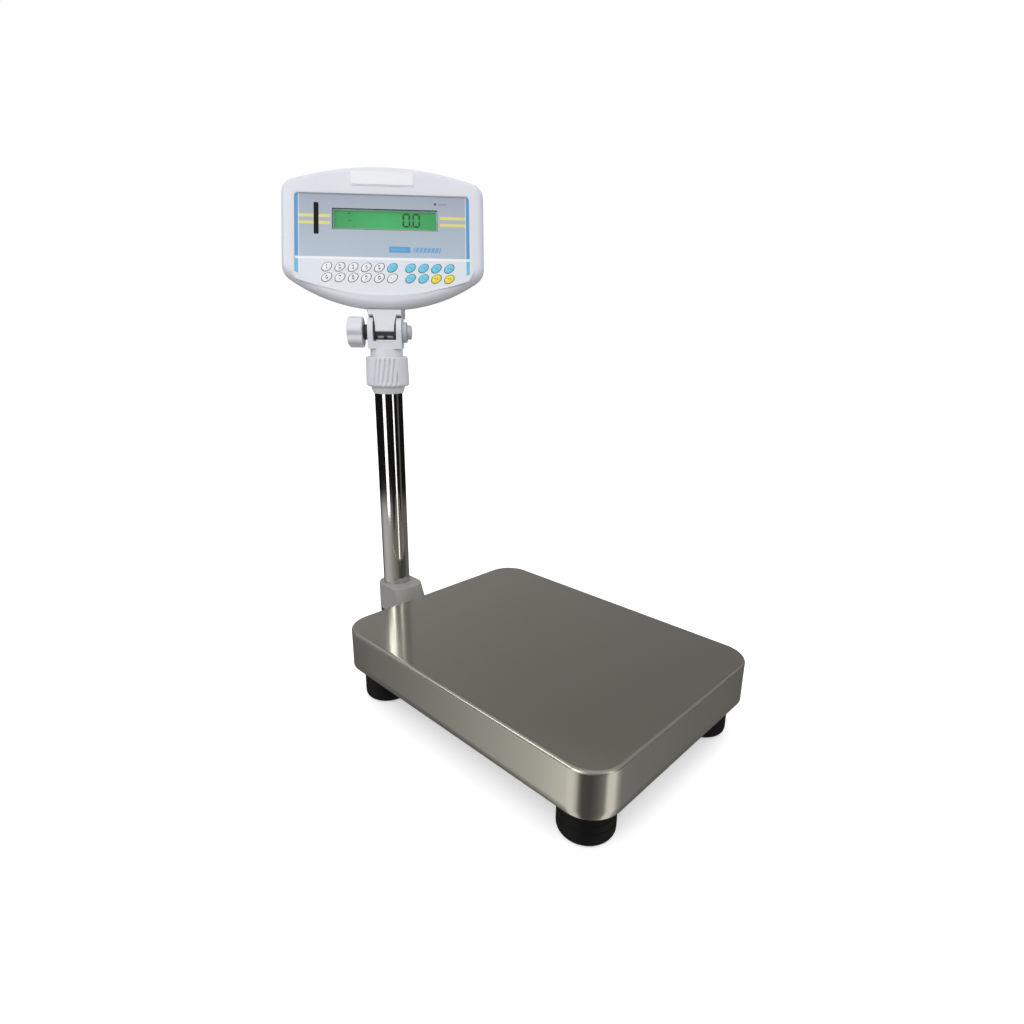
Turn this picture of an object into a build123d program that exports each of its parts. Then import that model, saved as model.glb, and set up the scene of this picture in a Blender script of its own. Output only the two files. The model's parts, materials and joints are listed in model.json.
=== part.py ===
from build123d import *
import os

# Bench scale with a weighing pan on four feet and a display head on a rear column.
# Row frame: +X right, +Y towards the column, +Z up, origin on the floor under the pan's centre.
# Lengths are millimetres and angles are degrees.

# Weighing pan: an inverted tray of bent sheet
pan_width = 300.0
pan_depth = 400.0
pan_top = 93.5
pan_skirt = 49.5
pan_sheet = 1.5
pan_corner = 35.0
pan_edge = 3.0

# Feet
foot_inset = 40.0
foot_radius = 28.7
foot_base_round = 6.0
foot_top_round = 3.0
stud_radius = 6.0
stud_above_nut = 6.0
nut_across = 19.0
nut_height = 6.0

# Lower frame and the tail plate that reaches back to the column
frame_bottom = 42.0
bar_width = 24.0
bar_height = 14.0
bar_wall = 2.0
bushing_radius = 11.0
cell_plate_width = 60.0
cell_plate_thickness = 5.0
cell_pad_height = 3.0
tail_thickness = 6.0
tail_margin = 1.0
tail_setback = 12.0

# Load cell, a beam bolted low at the rear and high at the front
cell_length = 150.0
cell_width = 40.0
cell_height = 28.0
cell_bore_radius = 9.0
cell_bore_spacing = 32.0
cell_slot_height = 8.0
cell_bolt_radius = 4.0
cell_bolt_spacing_x = 22.0
cell_bolt_spacing_y = 20.0
cell_bolt_head_radius = 6.5
cell_bolt_head_height = 5.0
cell_bolt_bite = 18.0
drill_point = 2.0

# What carries the pan
buffer_radius = 11.0
buffer_height = 2.5
stop_radius = 5.0
stop_gap = 0.9
stop_inset = 40.0
vial_radius = 10.0
vial_height = 9.0

# Column and its bracket
column_y = 292.0
tube_radius = 19.0
tube_wall = 2.0
tube_top = 408.0
tube_floor = 6.0
bracket_top = 83.0
bracket_side_wall = 6.0
bracket_back_wall = 3.0
bracket_front_wall = 19.0
bracket_front_flare = 17.0
bracket_corner = 18.0
bracket_rim = 2.5
bracket_bolt_radius = 3.0
bracket_bolt_head_radius = 5.0
bracket_bolt_head_height = 5.0
bracket_bolt_wall = 8.0
bracket_bolt_spacing = 15.0
bracket_bolt_bite = 14.0

# Collar, clamp ring and yoke at the top of the column
clamp_bottom = 363.5
clamp_top = 385.0
clamp_wall = 3.8
clamp_tip_wall = 1.0
clamp_cone = 6.5
clamp_split = 3.0
collar_bottom = 373.0
collar_top = 412.5
collar_wall = 4.9
collar_swell = 1.4
collar_chamfer = 4.0
flute_radius = 1.7
flute_count = 6
flute_step = 13.0
flute_slant = -9.0
flute_length = 31.0
neck_wall = 2.7
neck_top = 423.5
cable_hole_radius = 8.0

# Tilt joint
pivot_z = 444.5
yoke_half_width = 22.3
ear_thickness = 6.8
ear_radius = 19.0
yoke_plate = 9.8
bush_radius = 10.0
bush_window_width = 8.6
bush_window_height = 3.8
bush_web = 4.0
bush_floor = 1.6
bolt_radius = 4.0
bolt_cap_radius = 9.3
bolt_cap_height = 6.0
bolt_cap_chamfer = 1.0
washer_radius = 13.5
washer_height = 6.3
spacer_radius = 10.0
spacer_height = 7.2
knob_radius = 20.5
knob_length = 20.0
knob_lobes = 7
knob_scallop_radius = 7.0
knob_scallop_depth = 2.2
knob_round = 2.5
knob_cap = 6.0

# Display head, measured from the tilt pivot: x along the bolt, z up the face, y backwards
head_turn = -41.0
head_tilt = -18.0
head_half_width = 134.0
head_low_middle = 27.0
head_low_side = 74.0
head_high_middle = 219.0
head_high_side = 195.0
head_low_corner = 22.0
head_high_corner = 20.0
head_front = -23.5
head_parting = -8.0
head_back = 34.0
head_wall = 3.0
face_thickness = 6.2
front_round = 9.0
back_round = 12.0
back_lift = 15.0
gasket_thickness = 1.2
gasket_width = 1.6

# Front panel
panel_half_width = 114.5
panel_low_middle = 43.7
panel_low_side = 64.0
panel_top = 177.0
panel_corner = 5.0
panel_recess = 3.0
overlay_thickness = 0.8
window_x = 3.0
window_z = 144.2
window_width = 138.0
window_height = 28.0
window_lip = 2.0
slot_x = -86.8
slot_z = 144.2
slot_width = 6.2
slot_height = 42.0
slot_lip = 1.0

# Keys: slanted ovals in two rows, a block of six and a block of four
key_length = 13.6
key_breadth = 9.3
key_slant = 38.0
key_pitch = 17.1
key_row_top = 79.5
key_row_drop = 14.0
key_block_left = -73.5
key_block_right = 35.8
key_proud = 1.0
key_flange = 1.0
key_flange_rim = 0.9
key_travel = 0.4

# Electronics and what shows on the back of the head
lcd_margin = 7.0
lcd_thickness = 7.0
board_width = 200.0
board_height = 58.0
board_thickness = 1.6
board_top = 118.0
battery_size = (97.0, 24.0, 52.0)
battery_x = 20.0
battery_z = 92.0
boss_radius = 5.2
screw_radius = 1.5
screw_head_radius = 3.0
screw_head_height = 2.4
screw_bite = 8.0
screw_seat = 14.0
screw_side_inset = 12.0
screw_side_z = 130.0
screw_low_spot = (48.0, 44.0)
screw_high_spot = (60.0, 200.0)
badge_width = 83.0
badge_height = 19.0
badge_thickness = 1.4
badge_corner = 2.0
badge_bottom = 188.0
jack_x = -70.0
rear_row_z = 80.0
jack_radius = 5.5
jack_bore = 3.0
jack_depth = 12.0
jack_floor = 2.0
jack_collar_radius = 7.0
jack_collar = 1.5
port_x = -100.0
port_flange = (31.0, 12.5)
port_shell = (17.0, 8.4)
port_depth = 11.0
port_flange_thickness = 1.0
port_proud = 5.0
port_wall = 1.0
port_corner = 2.0
rocker_x = 92.0
rocker_width = 12.0
rocker_height = 18.0
rocker_pivot_depth = 5.0
rocker_throw = 9.0
rocker_proud = 2.6
rocker_back = 3.0
axle_radius = 1.5
axle_reach = 1.6
well_wall = 2.2

# Tilt bracket under the head
flange_width = 44.0
pad_rim = 2.0
flange_top = 26.5
flange_thickness = 4.0
flange_front = -7.0
flange_back = 23.0
neck_gap = 0.6
scoop_gap = 1.0
tongue_low_half = 12.4
saddle_wall = 4.0
tongue_front_low = -2.6
saddle_open = 6.0
flange_screw_radius = 2.0
flange_screw_head_radius = 3.6
flange_screw_head = 2.4
flange_screw_bite = 4.0
flange_screw_x = 17.5
flange_screw_y = 4.5

# How far a cutter runs past what it cuts
past = 1.0

# Clearances
thread_gap = 0.08
running_gap = 0.08
slip_gap = 0.3
key_gap = 0.3
fit_gap = 0.1
screw_gap = 0.3
seat_gap = 0.05

# Places worked out from the sizes above
screw_spots = [screw_low_spot, (head_half_width - screw_side_inset, screw_side_z), screw_high_spot]
neck_radius = tube_radius + neck_wall
clamp_radius = tube_radius + clamp_wall
clamp_tip_radius = tube_radius + clamp_tip_wall
collar_bore = max(clamp_radius, neck_radius) + slip_gap
collar_radius = collar_bore + collar_wall
bracket_width = 2 * (tube_radius + bracket_side_wall)
bracket_back_edge = column_y + tube_radius + bracket_back_wall
bracket_front_edge = column_y - tube_radius - bracket_front_wall
bracket_bolt_x = tube_radius - bracket_bolt_radius
bracket_bolt_back = column_y - tube_radius - bracket_bolt_wall - bracket_bolt_radius
pan_under = pan_top - pan_sheet
pan_low = pan_top - pan_skirt
foot_x = pan_width / 2 - foot_inset
foot_y = pan_depth / 2 - foot_inset
frame_top = frame_bottom + bar_height
tail_bottom = frame_bottom - tail_thickness
cell_low = frame_bottom + cell_plate_thickness + cell_pad_height
cell_high = cell_low + cell_height
cell_end = cell_length / 2 - cell_bolt_spacing_y / 2 - cell_bolt_head_radius
upper_plate_low = cell_high + cell_pad_height
upper_top = pan_under - buffer_height
upper_low = upper_top - bar_height
floor_front = head_front + panel_recess
floor_back = head_front + face_thickness
overlay_front = floor_front - overlay_thickness
front_edge = head_parting - gasket_thickness / 2
back_edge = head_parting + gasket_thickness / 2
back_inside = head_back - head_wall
ear_inside = yoke_half_width - ear_thickness
tongue_half_depth = bush_radius + saddle_wall
scoop_radius = tongue_half_depth + scoop_gap
tail_width = bracket_width - 2 * tail_margin
tail_end = bracket_back_edge - tail_setback

yoke_place = Pos(0, column_y, 0) * Rot(0, 0, head_turn)
pivot_place = yoke_place * Pos(0, 0, pivot_z)
head_place = pivot_place * Rot(head_tilt, 0, 0)


def block(x_span, y_span, z_span):
    """A box from its low and high faces along each axis."""
    centre = [(low + high) / 2 for low, high in (x_span, y_span, z_span)]
    size = [high - low for low, high in (x_span, y_span, z_span)]
    return Pos(*centre) * Box(*size)


def post(x, y, z_low, z_high, radius):
    """A round upright from z_low to z_high."""
    return Pos(x, y, (z_low + z_high) / 2) * Cylinder(radius, z_high - z_low)


def rod_x(x_low, x_high, y, z, radius):
    """A round bar along X."""
    return Pos((x_low + x_high) / 2, y, z) * Rot(0, 90, 0) * Cylinder(radius, x_high - x_low)


def rod_y(x, z, y_low, y_high, radius):
    """A round bar along Y."""
    return Pos(x, (y_low + y_high) / 2, z) * Rot(90, 0, 0) * Cylinder(radius, y_high - y_low)


def slab(outline, y_low, y_high):
    """A plate of an outline drawn in x and z, from y_low back to y_high."""
    return extrude(Plane.XZ.offset(-y_high) * outline, y_high - y_low)


def corners(x, y):
    """The four places at plus and minus x and y."""
    return [(sx * x, sy * y) for sx in (-1, 1) for sy in (-1, 1)]


def channel_ring(low, high):
    """A rectangular ring of channel section, open below, centred on the feet."""
    outer_x = 2 * foot_x + bar_width
    outer_y = 2 * foot_y + bar_width
    ring = Rectangle(outer_x, outer_y) - Rectangle(outer_x - 2 * bar_width, outer_y - 2 * bar_width)
    inset = 2 * bar_wall
    hollow_outer = Rectangle(outer_x - inset, outer_y - inset)
    hollow = hollow_outer - Rectangle(outer_x - 2 * bar_width + inset, outer_y - 2 * bar_width + inset)
    solid = Pos(0, 0, low) * extrude(ring, high - low)
    return solid - Pos(0, 0, low) * extrude(hollow, high - low - bar_wall)


def bolt_places(end_y):
    """The four bolt places at one end of the load cell."""
    return [(x, end_y + y) for x, y in corners(cell_bolt_spacing_x / 2, cell_bolt_spacing_y / 2)]


def cross_plate(end_y, low, pad_low, pad_high):
    """The plate and pad that tie one end of the load cell to a ring, drilled for its bolts."""
    reach = foot_x - bar_width / 2 + bar_wall
    half = cell_plate_width / 2
    plate = block((-reach, reach), (end_y - half, end_y + half), (low, low + cell_plate_thickness))
    pad_y = (end_y - cell_bolt_spacing_y / 2 - cell_bolt_head_radius,
             end_y + cell_bolt_spacing_y / 2 + cell_bolt_head_radius)
    plate += block((-cell_width / 2, cell_width / 2), pad_y, (pad_low, pad_high))
    hole_low = min(low, pad_low) - 1
    hole_high = max(low + cell_plate_thickness, pad_high) + 1
    for x, y in bolt_places(end_y):
        plate -= post(x, y, hole_low, hole_high, cell_bolt_radius + screw_gap)
    return plate


def base_frame():
    """Lower frame: channel ring, cell plate, foot bushings and the tail plate to the column."""
    frame = channel_ring(frame_bottom, frame_top)
    frame += cross_plate(cell_end, frame_bottom, frame_bottom + cell_plate_thickness, cell_low)
    tail_front = foot_y - bar_width / 2
    frame += block((-tail_width / 2, tail_width / 2), (tail_front, tail_end), (tail_bottom, frame_bottom))
    for x, y in corners(foot_x, foot_y):
        frame += post(x, y, frame_bottom, frame_top, bushing_radius)
        frame -= post(x, y, frame_bottom - past, frame_top + past, stud_radius + thread_gap)
    for x, y in bracket_bolt_places():
        frame -= post(x, y, tail_bottom - past, frame_bottom + past, bracket_bolt_radius + screw_gap)
    for x, y in stop_places():
        frame += post(x, y, frame_bottom, frame_top, stop_radius)
    return frame


def foot():
    """Rubber pad and its steel stud, standing at the origin."""
    pad_height = frame_bottom - slip_gap
    pad = Pos(0, 0, pad_height / 2) * Cylinder(foot_radius, pad_height)
    pad = fillet(pad.edges().sort_by(Axis.Z)[0], foot_base_round)
    pad = fillet(pad.edges().sort_by(Axis.Z)[-1], foot_top_round)
    root = pad_height / 2
    pad -= post(0, 0, root, pad_height + past, stud_radius)
    stud_top = frame_top + nut_height + stud_above_nut
    return Compound(children=[pad, post(0, 0, root, stud_top, stud_radius)])


def foot_lock_nuts():
    """One hexagon nut on each stud, tight on the lower frame."""
    hexagon = RegularPolygon(nut_across / 2, 6, major_radius=False) - Circle(stud_radius + thread_gap)
    nut = extrude(hexagon, nut_height)
    return Compound(children=[Pos(x, y, frame_top) * nut for x, y in corners(foot_x, foot_y)])


def load_cell():
    """Aluminium beam with two linked bores that leave thin flexing webs."""
    half = cell_length / 2
    middle = (cell_low + cell_high) / 2
    side = (-cell_width / 2, cell_width / 2)
    beam = block(side, (-half, half), (cell_low, cell_high))
    reach = cell_width / 2 + 1
    for y in (-cell_bore_spacing / 2, cell_bore_spacing / 2):
        beam -= rod_x(-reach, reach, y, middle, cell_bore_radius)
    slot_z = (middle - cell_slot_height / 2, middle + cell_slot_height / 2)
    beam -= block((-reach, reach), (-cell_bore_spacing / 2, cell_bore_spacing / 2), slot_z)
    bore = cell_bolt_radius + thread_gap
    for x, y in bolt_places(cell_end):
        beam -= post(x, y, cell_low - past, cell_low + cell_bolt_bite + drill_point, bore)
    for x, y in bolt_places(-cell_end):
        beam -= post(x, y, cell_high - cell_bolt_bite - drill_point, cell_high + past, bore)
    return beam


def cell_bolts(end_y, seat, tip, head_side):
    """Four bolts at one end of the load cell, with heads on the side given by head_side."""
    head_end = seat + head_side * cell_bolt_head_height
    bolts = []
    for x, y in bolt_places(end_y):
        bolt = post(x, y, min(seat, tip), max(seat, tip), cell_bolt_radius)
        bolts.append(bolt + post(x, y, min(seat, head_end), max(seat, head_end), cell_bolt_head_radius))
    return Compound(children=bolts)


def upper_frame():
    """Upper frame: channel ring under the pan, with the plate for the live end of the cell."""
    return channel_ring(upper_low, upper_top) + cross_plate(-cell_end, upper_plate_low, cell_high,
                                                            upper_plate_low)


def pan_buffers():
    """Soft discs on the upper frame's corners that the pan rests on."""
    return Compound(children=[post(x, y, upper_top, pan_under, buffer_radius)
                              for x, y in corners(foot_x, foot_y)])


def stop_places():
    """Where the overload stops stand on the long bars."""
    return corners(foot_x, foot_y - stop_inset)


def overload_stops():
    """Round posts that catch the upper frame before the load cell is overstrained."""
    return Compound(children=[post(x, y, frame_top, upper_low + bar_height - bar_wall - stop_gap,
                                   stop_radius) for x, y in stop_places()])


def weighing_pan():
    """Inverted tray with rounded corners."""
    outer = extrude(RectangleRounded(pan_width, pan_depth, pan_corner), pan_skirt)
    outer = fillet(outer.faces().sort_by(Axis.Z)[-1].edges(), pan_edge)
    inside = 2 * pan_sheet
    outline = RectangleRounded(pan_width - inside, pan_depth - inside, pan_corner - pan_sheet)
    inner = extrude(outline, pan_skirt - pan_sheet)
    inner = fillet(inner.faces().sort_by(Axis.Z)[-1].edges(), pan_edge - pan_sheet)
    return Pos(0, 0, pan_low) * (outer - inner)


def level_vial():
    """Round bubble level on the middle of the lower frame's front bar."""
    return post(0, -foot_y, frame_top, frame_top + vial_height, vial_radius)


def bracket_bolt_places():
    """The four bolts that hold the column bracket on the tail plate."""
    rows = (bracket_bolt_back - bracket_bolt_spacing, bracket_bolt_back)
    return [(x, y) for x in (-bracket_bolt_x, bracket_bolt_x) for y in rows]


def column_bracket():
    """Cast socket, sloping to the front, bored for the column."""
    outlines = []
    bottom_front = bracket_front_edge - bracket_front_flare
    for z, front in ((frame_bottom, bottom_front), (bracket_top, bracket_front_edge)):
        depth = bracket_back_edge - front
        outline = RectangleRounded(bracket_width, depth, bracket_corner)
        outlines.append(Pos(0, front + depth / 2, z) * outline)
    casting = loft(outlines)
    casting = fillet(casting.faces().sort_by(Axis.Z)[-1].edges(), bracket_rim)
    tube_bottom = frame_bottom + tube_floor
    casting -= post(0, column_y, tube_bottom, bracket_top + past, tube_radius + seat_gap)
    for x, y in bracket_bolt_places():
        casting -= post(x, y, frame_bottom - past, frame_bottom + bracket_bolt_bite + past,
                        bracket_bolt_radius + thread_gap)
    return casting


def bracket_bolts():
    """Four bolts up through the tail plate."""
    bolts = []
    for x, y in bracket_bolt_places():
        shank = post(x, y, tail_bottom, frame_bottom + bracket_bolt_bite, bracket_bolt_radius)
        head = post(x, y, tail_bottom - bracket_bolt_head_height, tail_bottom, bracket_bolt_head_radius)
        bolts.append(shank + head)
    return Compound(children=bolts)


def column_tube():
    """Polished round tube."""
    low = frame_bottom + tube_floor
    tube = post(0, column_y, low, tube_top, tube_radius)
    return tube - post(0, column_y, low - past, tube_top + past, tube_radius - tube_wall)


def clamp_ring():
    """Split ring that the collar squeezes on the tube, with a tapered lower tip."""
    ring = post(0, 0, clamp_bottom, clamp_top, clamp_radius)
    ring = chamfer(ring.edges().sort_by(Axis.Z)[0], clamp_cone, clamp_radius - clamp_tip_radius)
    ring -= post(0, 0, clamp_bottom - past, clamp_top + past, tube_radius + seat_gap)
    split = (-clamp_split / 2, clamp_split / 2)
    ring -= block(split, (0, clamp_radius + past), (clamp_bottom - past, clamp_top + past))
    return yoke_place * ring


def locking_collar():
    """Hand nut with slanted flutes front and back."""
    bulge = collar_radius + collar_swell
    low = collar_bottom + collar_chamfer
    profile = Polyline((0, collar_bottom), (bulge - collar_chamfer, collar_bottom), (bulge, low),
                       (collar_radius, collar_top), (0, collar_top), close=True)
    nut = revolve(Plane.XZ * make_face(profile), Axis.Z)
    nut -= post(0, 0, collar_bottom - past, collar_top + past, collar_bore)
    middle = (collar_bottom + collar_chamfer + collar_top) / 2
    for side in (0, 180):
        for step in range(flute_count):
            turn = side - 90 + (step - (flute_count - 1) / 2) * flute_step
            cutter = Pos(bulge, 0, middle) * Rot(flute_slant, 0, 0) * Cylinder(flute_radius, flute_length)
            nut -= Rot(0, 0, turn) * cutter
    return yoke_place * nut


def swivel_yoke():
    """Sleeve over the tube's end, with two ears that hold the tilt bolt."""
    sleeve = post(0, 0, clamp_top + slip_gap, neck_top, neck_radius)
    half = yoke_half_width
    plate_top = neck_top + yoke_plate
    yoke = sleeve + block((-half, half), (-ear_radius, ear_radius), (neck_top, plate_top))
    for side in (-1, 1):
        span = sorted((side * ear_inside, side * half))
        yoke += rod_x(span[0], span[1], 0, pivot_z, ear_radius)
        yoke += block(span, (-ear_radius, ear_radius), (plate_top, pivot_z))
    yoke -= rod_x(-ear_inside, ear_inside, 0, pivot_z, scoop_radius)
    yoke -= rod_x(-half - past, half + past, 0, pivot_z, bolt_radius + running_gap)
    yoke -= post(0, 0, clamp_top, tube_top, tube_radius + seat_gap)
    yoke -= post(0, 0, tube_top - past, pivot_z, cable_hole_radius)
    return yoke_place * yoke


def pivot_bush():
    """Plastic sleeve between the ears, with two windows under the bolt."""
    length = ear_inside
    bush = rod_x(-length, length, 0, 0, bush_radius)
    bush -= rod_x(-length - past, length + past, 0, 0, bolt_radius + running_gap)
    low = bush_floor - bush_radius
    for side in (-1, 1):
        near = side * bush_web / 2
        span = sorted((near, near + side * bush_window_width))
        bush -= block(span, (-bush_radius, bush_radius), (low, low + bush_window_height))
    return pivot_place * bush


def tilt_bolt():
    """Bolt through ears and bush, with its round cap on the right."""
    cap_start = yoke_half_width + washer_height
    thread_end = -yoke_half_width - spacer_height - knob_length + knob_cap + slip_gap
    bolt = rod_x(thread_end, cap_start, 0, 0, bolt_radius)
    cap = rod_x(cap_start, cap_start + bolt_cap_height, 0, 0, bolt_cap_radius)
    cap = chamfer(cap.edges().sort_by(Axis.X)[-1], bolt_cap_chamfer)
    return pivot_place * (bolt + cap)


def friction_washers():
    """Thick washer under the bolt's cap and the spacer under the knob."""
    bore = bolt_radius + running_gap
    half = yoke_half_width
    washer = rod_x(half, half + washer_height, 0, 0, washer_radius)
    washer -= rod_x(half - past, half + washer_height + past, 0, 0, bore)
    spacer = rod_x(-half - spacer_height + slip_gap, -half, 0, 0, spacer_radius)
    spacer -= rod_x(-half - spacer_height - past, -half + past, 0, 0, bore)
    return pivot_place * Compound(children=[washer, spacer])


def tilt_knob():
    """Lobed hand knob on the bolt's threaded end."""
    inner = -yoke_half_width - spacer_height
    outer = inner - knob_length
    knob = rod_x(outer, inner, 0, 0, knob_radius)
    reach = knob_radius + knob_scallop_radius - knob_scallop_depth
    for lobe in range(knob_lobes):
        scallop = rod_x(outer - past, inner + past, 0, reach, knob_scallop_radius)
        knob -= Rot(360 * (lobe + 0.5) / knob_lobes, 0, 0) * scallop
    knob = fillet(knob.faces().sort_by(Axis.X)[0].edges(), knob_round)
    return pivot_place * (knob - rod_x(outer + knob_cap, inner + past, 0, 0, bolt_radius + running_gap))


def arched_outline(half, low_side, low_middle, high_side, high_middle, low_corner, high_corner):
    """An outline with straight sides, an arc below and an arc or straight line above."""
    low = ThreePointArc((-half, low_side), (0, low_middle), (half, low_side))
    right = Line((half, low_side), (half, high_side))
    if high_middle > high_side:
        top = ThreePointArc((half, high_side), (0, high_middle), (-half, high_side))
    else:
        top = Line((half, high_side), (-half, high_side))
    left = Line((-half, high_side), (-half, low_side))
    outline = make_face(low + right + top + left)
    outline = fillet(outline.vertices().group_by(Axis.Y)[-1], high_corner)
    return fillet(outline.vertices().group_by(Axis.Y)[0], low_corner)


def head_outline(inset=0.0, lift=0.0):
    """The head's outline, moved in by an even amount, with its lower edge lifted."""
    outline = arched_outline(head_half_width, head_low_side + lift, head_low_middle + lift,
                             head_high_side, head_high_middle, head_low_corner, head_high_corner)
    return offset(outline, -inset) if inset else outline


def back_shape(y_low, y_high, inset, rounding):
    """The rear shell's solid shape, its lower edge rising towards a rounded back."""
    rise = back_lift / (head_back - back_edge)
    ends = []
    for y in (y_low, y_high):
        ends.append(Plane.XZ.offset(-y) * head_outline(inset, rise * (y - back_edge)))
    shape = loft(ends)
    return fillet(shape.faces().sort_by(Axis.Y)[-1].edges(), rounding)


def panel_outline(inset=0.0):
    """The recessed panel's outline, moved in by an even amount."""
    return arched_outline(panel_half_width - inset, panel_low_side + inset, panel_low_middle + inset,
                          panel_top - inset, panel_top - inset, panel_corner, panel_corner)


def window_outline(grow=0.0):
    """The display window's outline, grown on every side."""
    return Pos(window_x, window_z) * Rectangle(window_width + 2 * grow, window_height + 2 * grow)


def slot_outline(grow=0.0):
    """The slot window's outline, grown on every side."""
    size = (slot_width + 2 * grow, slot_height + 2 * grow)
    return Pos(slot_x, slot_z) * RectangleRounded(*size, slot_width / 4)


def key_outline(grow=0.0):
    """One key's slanted oval, grown on every side."""
    return Rot(0, 0, key_slant) * Ellipse(key_length / 2 + grow, key_breadth / 2 + grow)


def key_places():
    """Each key's name with its place on the panel."""
    left = [["key_1", "key_2", "key_3", "key_4", "key_5", "key_clear"],
            ["key_6", "key_7", "key_8", "key_9", "key_0", "key_point"]]
    right = [["key_units", "key_check", "key_print", "key_function"],
             ["key_net", "key_total", "key_tare", "key_zero"]]
    places = []
    for start, rows in ((key_block_left, left), (key_block_right, right)):
        for row, names in enumerate(rows):
            for column, name in enumerate(names):
                places.append((name, start + column * key_pitch, key_row_top - row * key_row_drop))
    return places


def screw_places():
    """The six case screws."""
    return [(side * x, z) for x, z in screw_spots for side in (-1, 1)]


def cut_face(plate, y_low, y_high, window_grow, slot_grow):
    """Take the windows' and keys' openings out of a plate."""
    plate -= slab(window_outline(window_grow), y_low, y_high)
    plate -= slab(slot_outline(slot_grow), y_low, y_high)
    for name, x, z in key_places():
        plate -= slab(Pos(x, z) * key_outline(key_gap), y_low, y_high)
    return plate


def front_housing():
    """Front shell with its rolled rim, the recess for the panel and bosses for the screws."""
    shell = slab(head_outline(), head_front, front_edge)
    shell = fillet(shell.faces().sort_by(Axis.Y)[0].edges(), front_round)
    shell -= slab(head_outline(head_wall), floor_back, front_edge + past)
    shell -= slab(panel_outline(), head_front - past, floor_front)
    for x, z in screw_places():
        shell += rod_y(x, z, floor_back, front_edge, boss_radius)
        shell -= rod_y(x, z, front_edge - screw_bite - past, front_edge + past, screw_radius + thread_gap)
    shell = cut_face(shell, head_front - past, floor_back + past, -window_lip, -slot_lip)
    return head_place * shell


def keypad_overlay():
    """Thin printed panel in the recess."""
    plate = slab(panel_outline(fit_gap), overlay_front, floor_front)
    return head_place * cut_face(plate, overlay_front - past, floor_front + past, fit_gap, fit_gap)


def display_window():
    """Clear pane flush with the panel."""
    return head_place * slab(window_outline(), overlay_front, floor_front)


def slot_window():
    """Dark narrow pane left of the display."""
    return head_place * slab(slot_outline(), overlay_front, floor_front)


def key(x, z):
    """Oval key with a flange behind the panel that keeps it in."""
    cap_front = overlay_front - key_proud
    flange_front = floor_back + seat_gap
    stem = slab(key_outline(), cap_front, flange_front + key_flange)
    stem = fillet(stem.faces().sort_by(Axis.Y)[0].edges(), key_proud / 3)
    flange = slab(key_outline(key_flange_rim), flange_front, flange_front + key_flange)
    return head_place * Pos(x, 0, z) * (stem + flange)


def lcd_module():
    """Display glass and backlight behind the window."""
    return head_place * slab(window_outline(lcd_margin), floor_back, floor_back + lcd_thickness)


def circuit_board():
    """Board behind the keys, far enough back for their travel."""
    front = floor_back + seat_gap + key_flange + key_travel + slip_gap
    centre = Pos(0, board_top - board_height / 2)
    board = slab(centre * Rectangle(board_width, board_height), front, front + board_thickness)
    return head_place * board


def battery():
    """Rechargeable block against the back wall."""
    width, depth, height = battery_size
    block_x = (battery_x - width / 2, battery_x + width / 2)
    block_z = (battery_z - height / 2, battery_z + height / 2)
    return head_place * block(block_x, (back_inside - depth, back_inside), block_z)


def housing_gasket():
    """Seal in the joint between the shells."""
    edge = head_wall - gasket_width
    ring = head_outline(edge / 2) - head_outline(edge / 2 + gasket_width)
    return head_place * slab(ring, front_edge, back_edge)


def rocker_hole():
    """The rocker's window in the back wall, high enough for its swing."""
    return Rectangle(rocker_width + 2 * slip_gap, rocker_height + 2 * rocker_proud)


def rear_housing():
    """Rear shell with screw wells, a flat pad for the tilt bracket and cut-outs for the sockets."""
    outer = back_shape(back_edge, head_back, 0, back_round)
    inner = back_shape(back_edge - past, back_inside, head_wall, back_round - head_wall)
    pad_x = flange_width / 2 + pad_rim
    pad_top = flange_top + 2 * head_wall + back_lift
    pad = block((-pad_x, pad_x), (back_edge, flange_back + pad_rim), (flange_top, pad_top))
    shell = outer - inner + pad
    for x, z in screw_places():
        shell += rod_y(x, z, back_edge, head_back, boss_radius) & outer
        shell -= rod_y(x, z, back_edge - past, head_back + past, screw_radius + screw_gap)
        shell -= rod_y(x, z, back_edge + screw_seat, head_back + past, screw_head_radius + screw_gap)
    for x, y in flange_screw_places():
        shell -= post(x, y, flange_top - past, flange_top + flange_screw_bite + past,
                      flange_screw_radius + thread_gap)
    shell -= rod_y(jack_x, rear_row_z, back_inside - past, head_back + past, jack_radius)
    port_hole = Pos(port_x, rear_row_z) * Rectangle(*port_shell)
    shell -= slab(port_hole, back_inside - past, head_back + past)
    return head_place * rocker_well(shell)


def rocker_well(shell):
    """Add the two cheeks that carry the rocker's axle, and open the wall between them."""
    pivot_y = head_back - rocker_pivot_depth
    inside = rocker_width / 2 + slip_gap
    for side in (-1, 1):
        span = sorted((rocker_x + side * inside, rocker_x + side * (inside + well_wall)))
        cheek_y = (pivot_y - 2 * axle_radius, back_inside)
        shell += block(span, cheek_y, (rear_row_z - rocker_height / 2, rear_row_z + rocker_height / 2))
    shell -= slab(Pos(rocker_x, rear_row_z) * rocker_hole(), pivot_y - rocker_height, head_back + past)
    reach = inside + axle_reach
    return shell - rod_x(rocker_x - reach, rocker_x + reach, pivot_y, rear_row_z, axle_radius + running_gap)


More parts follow.
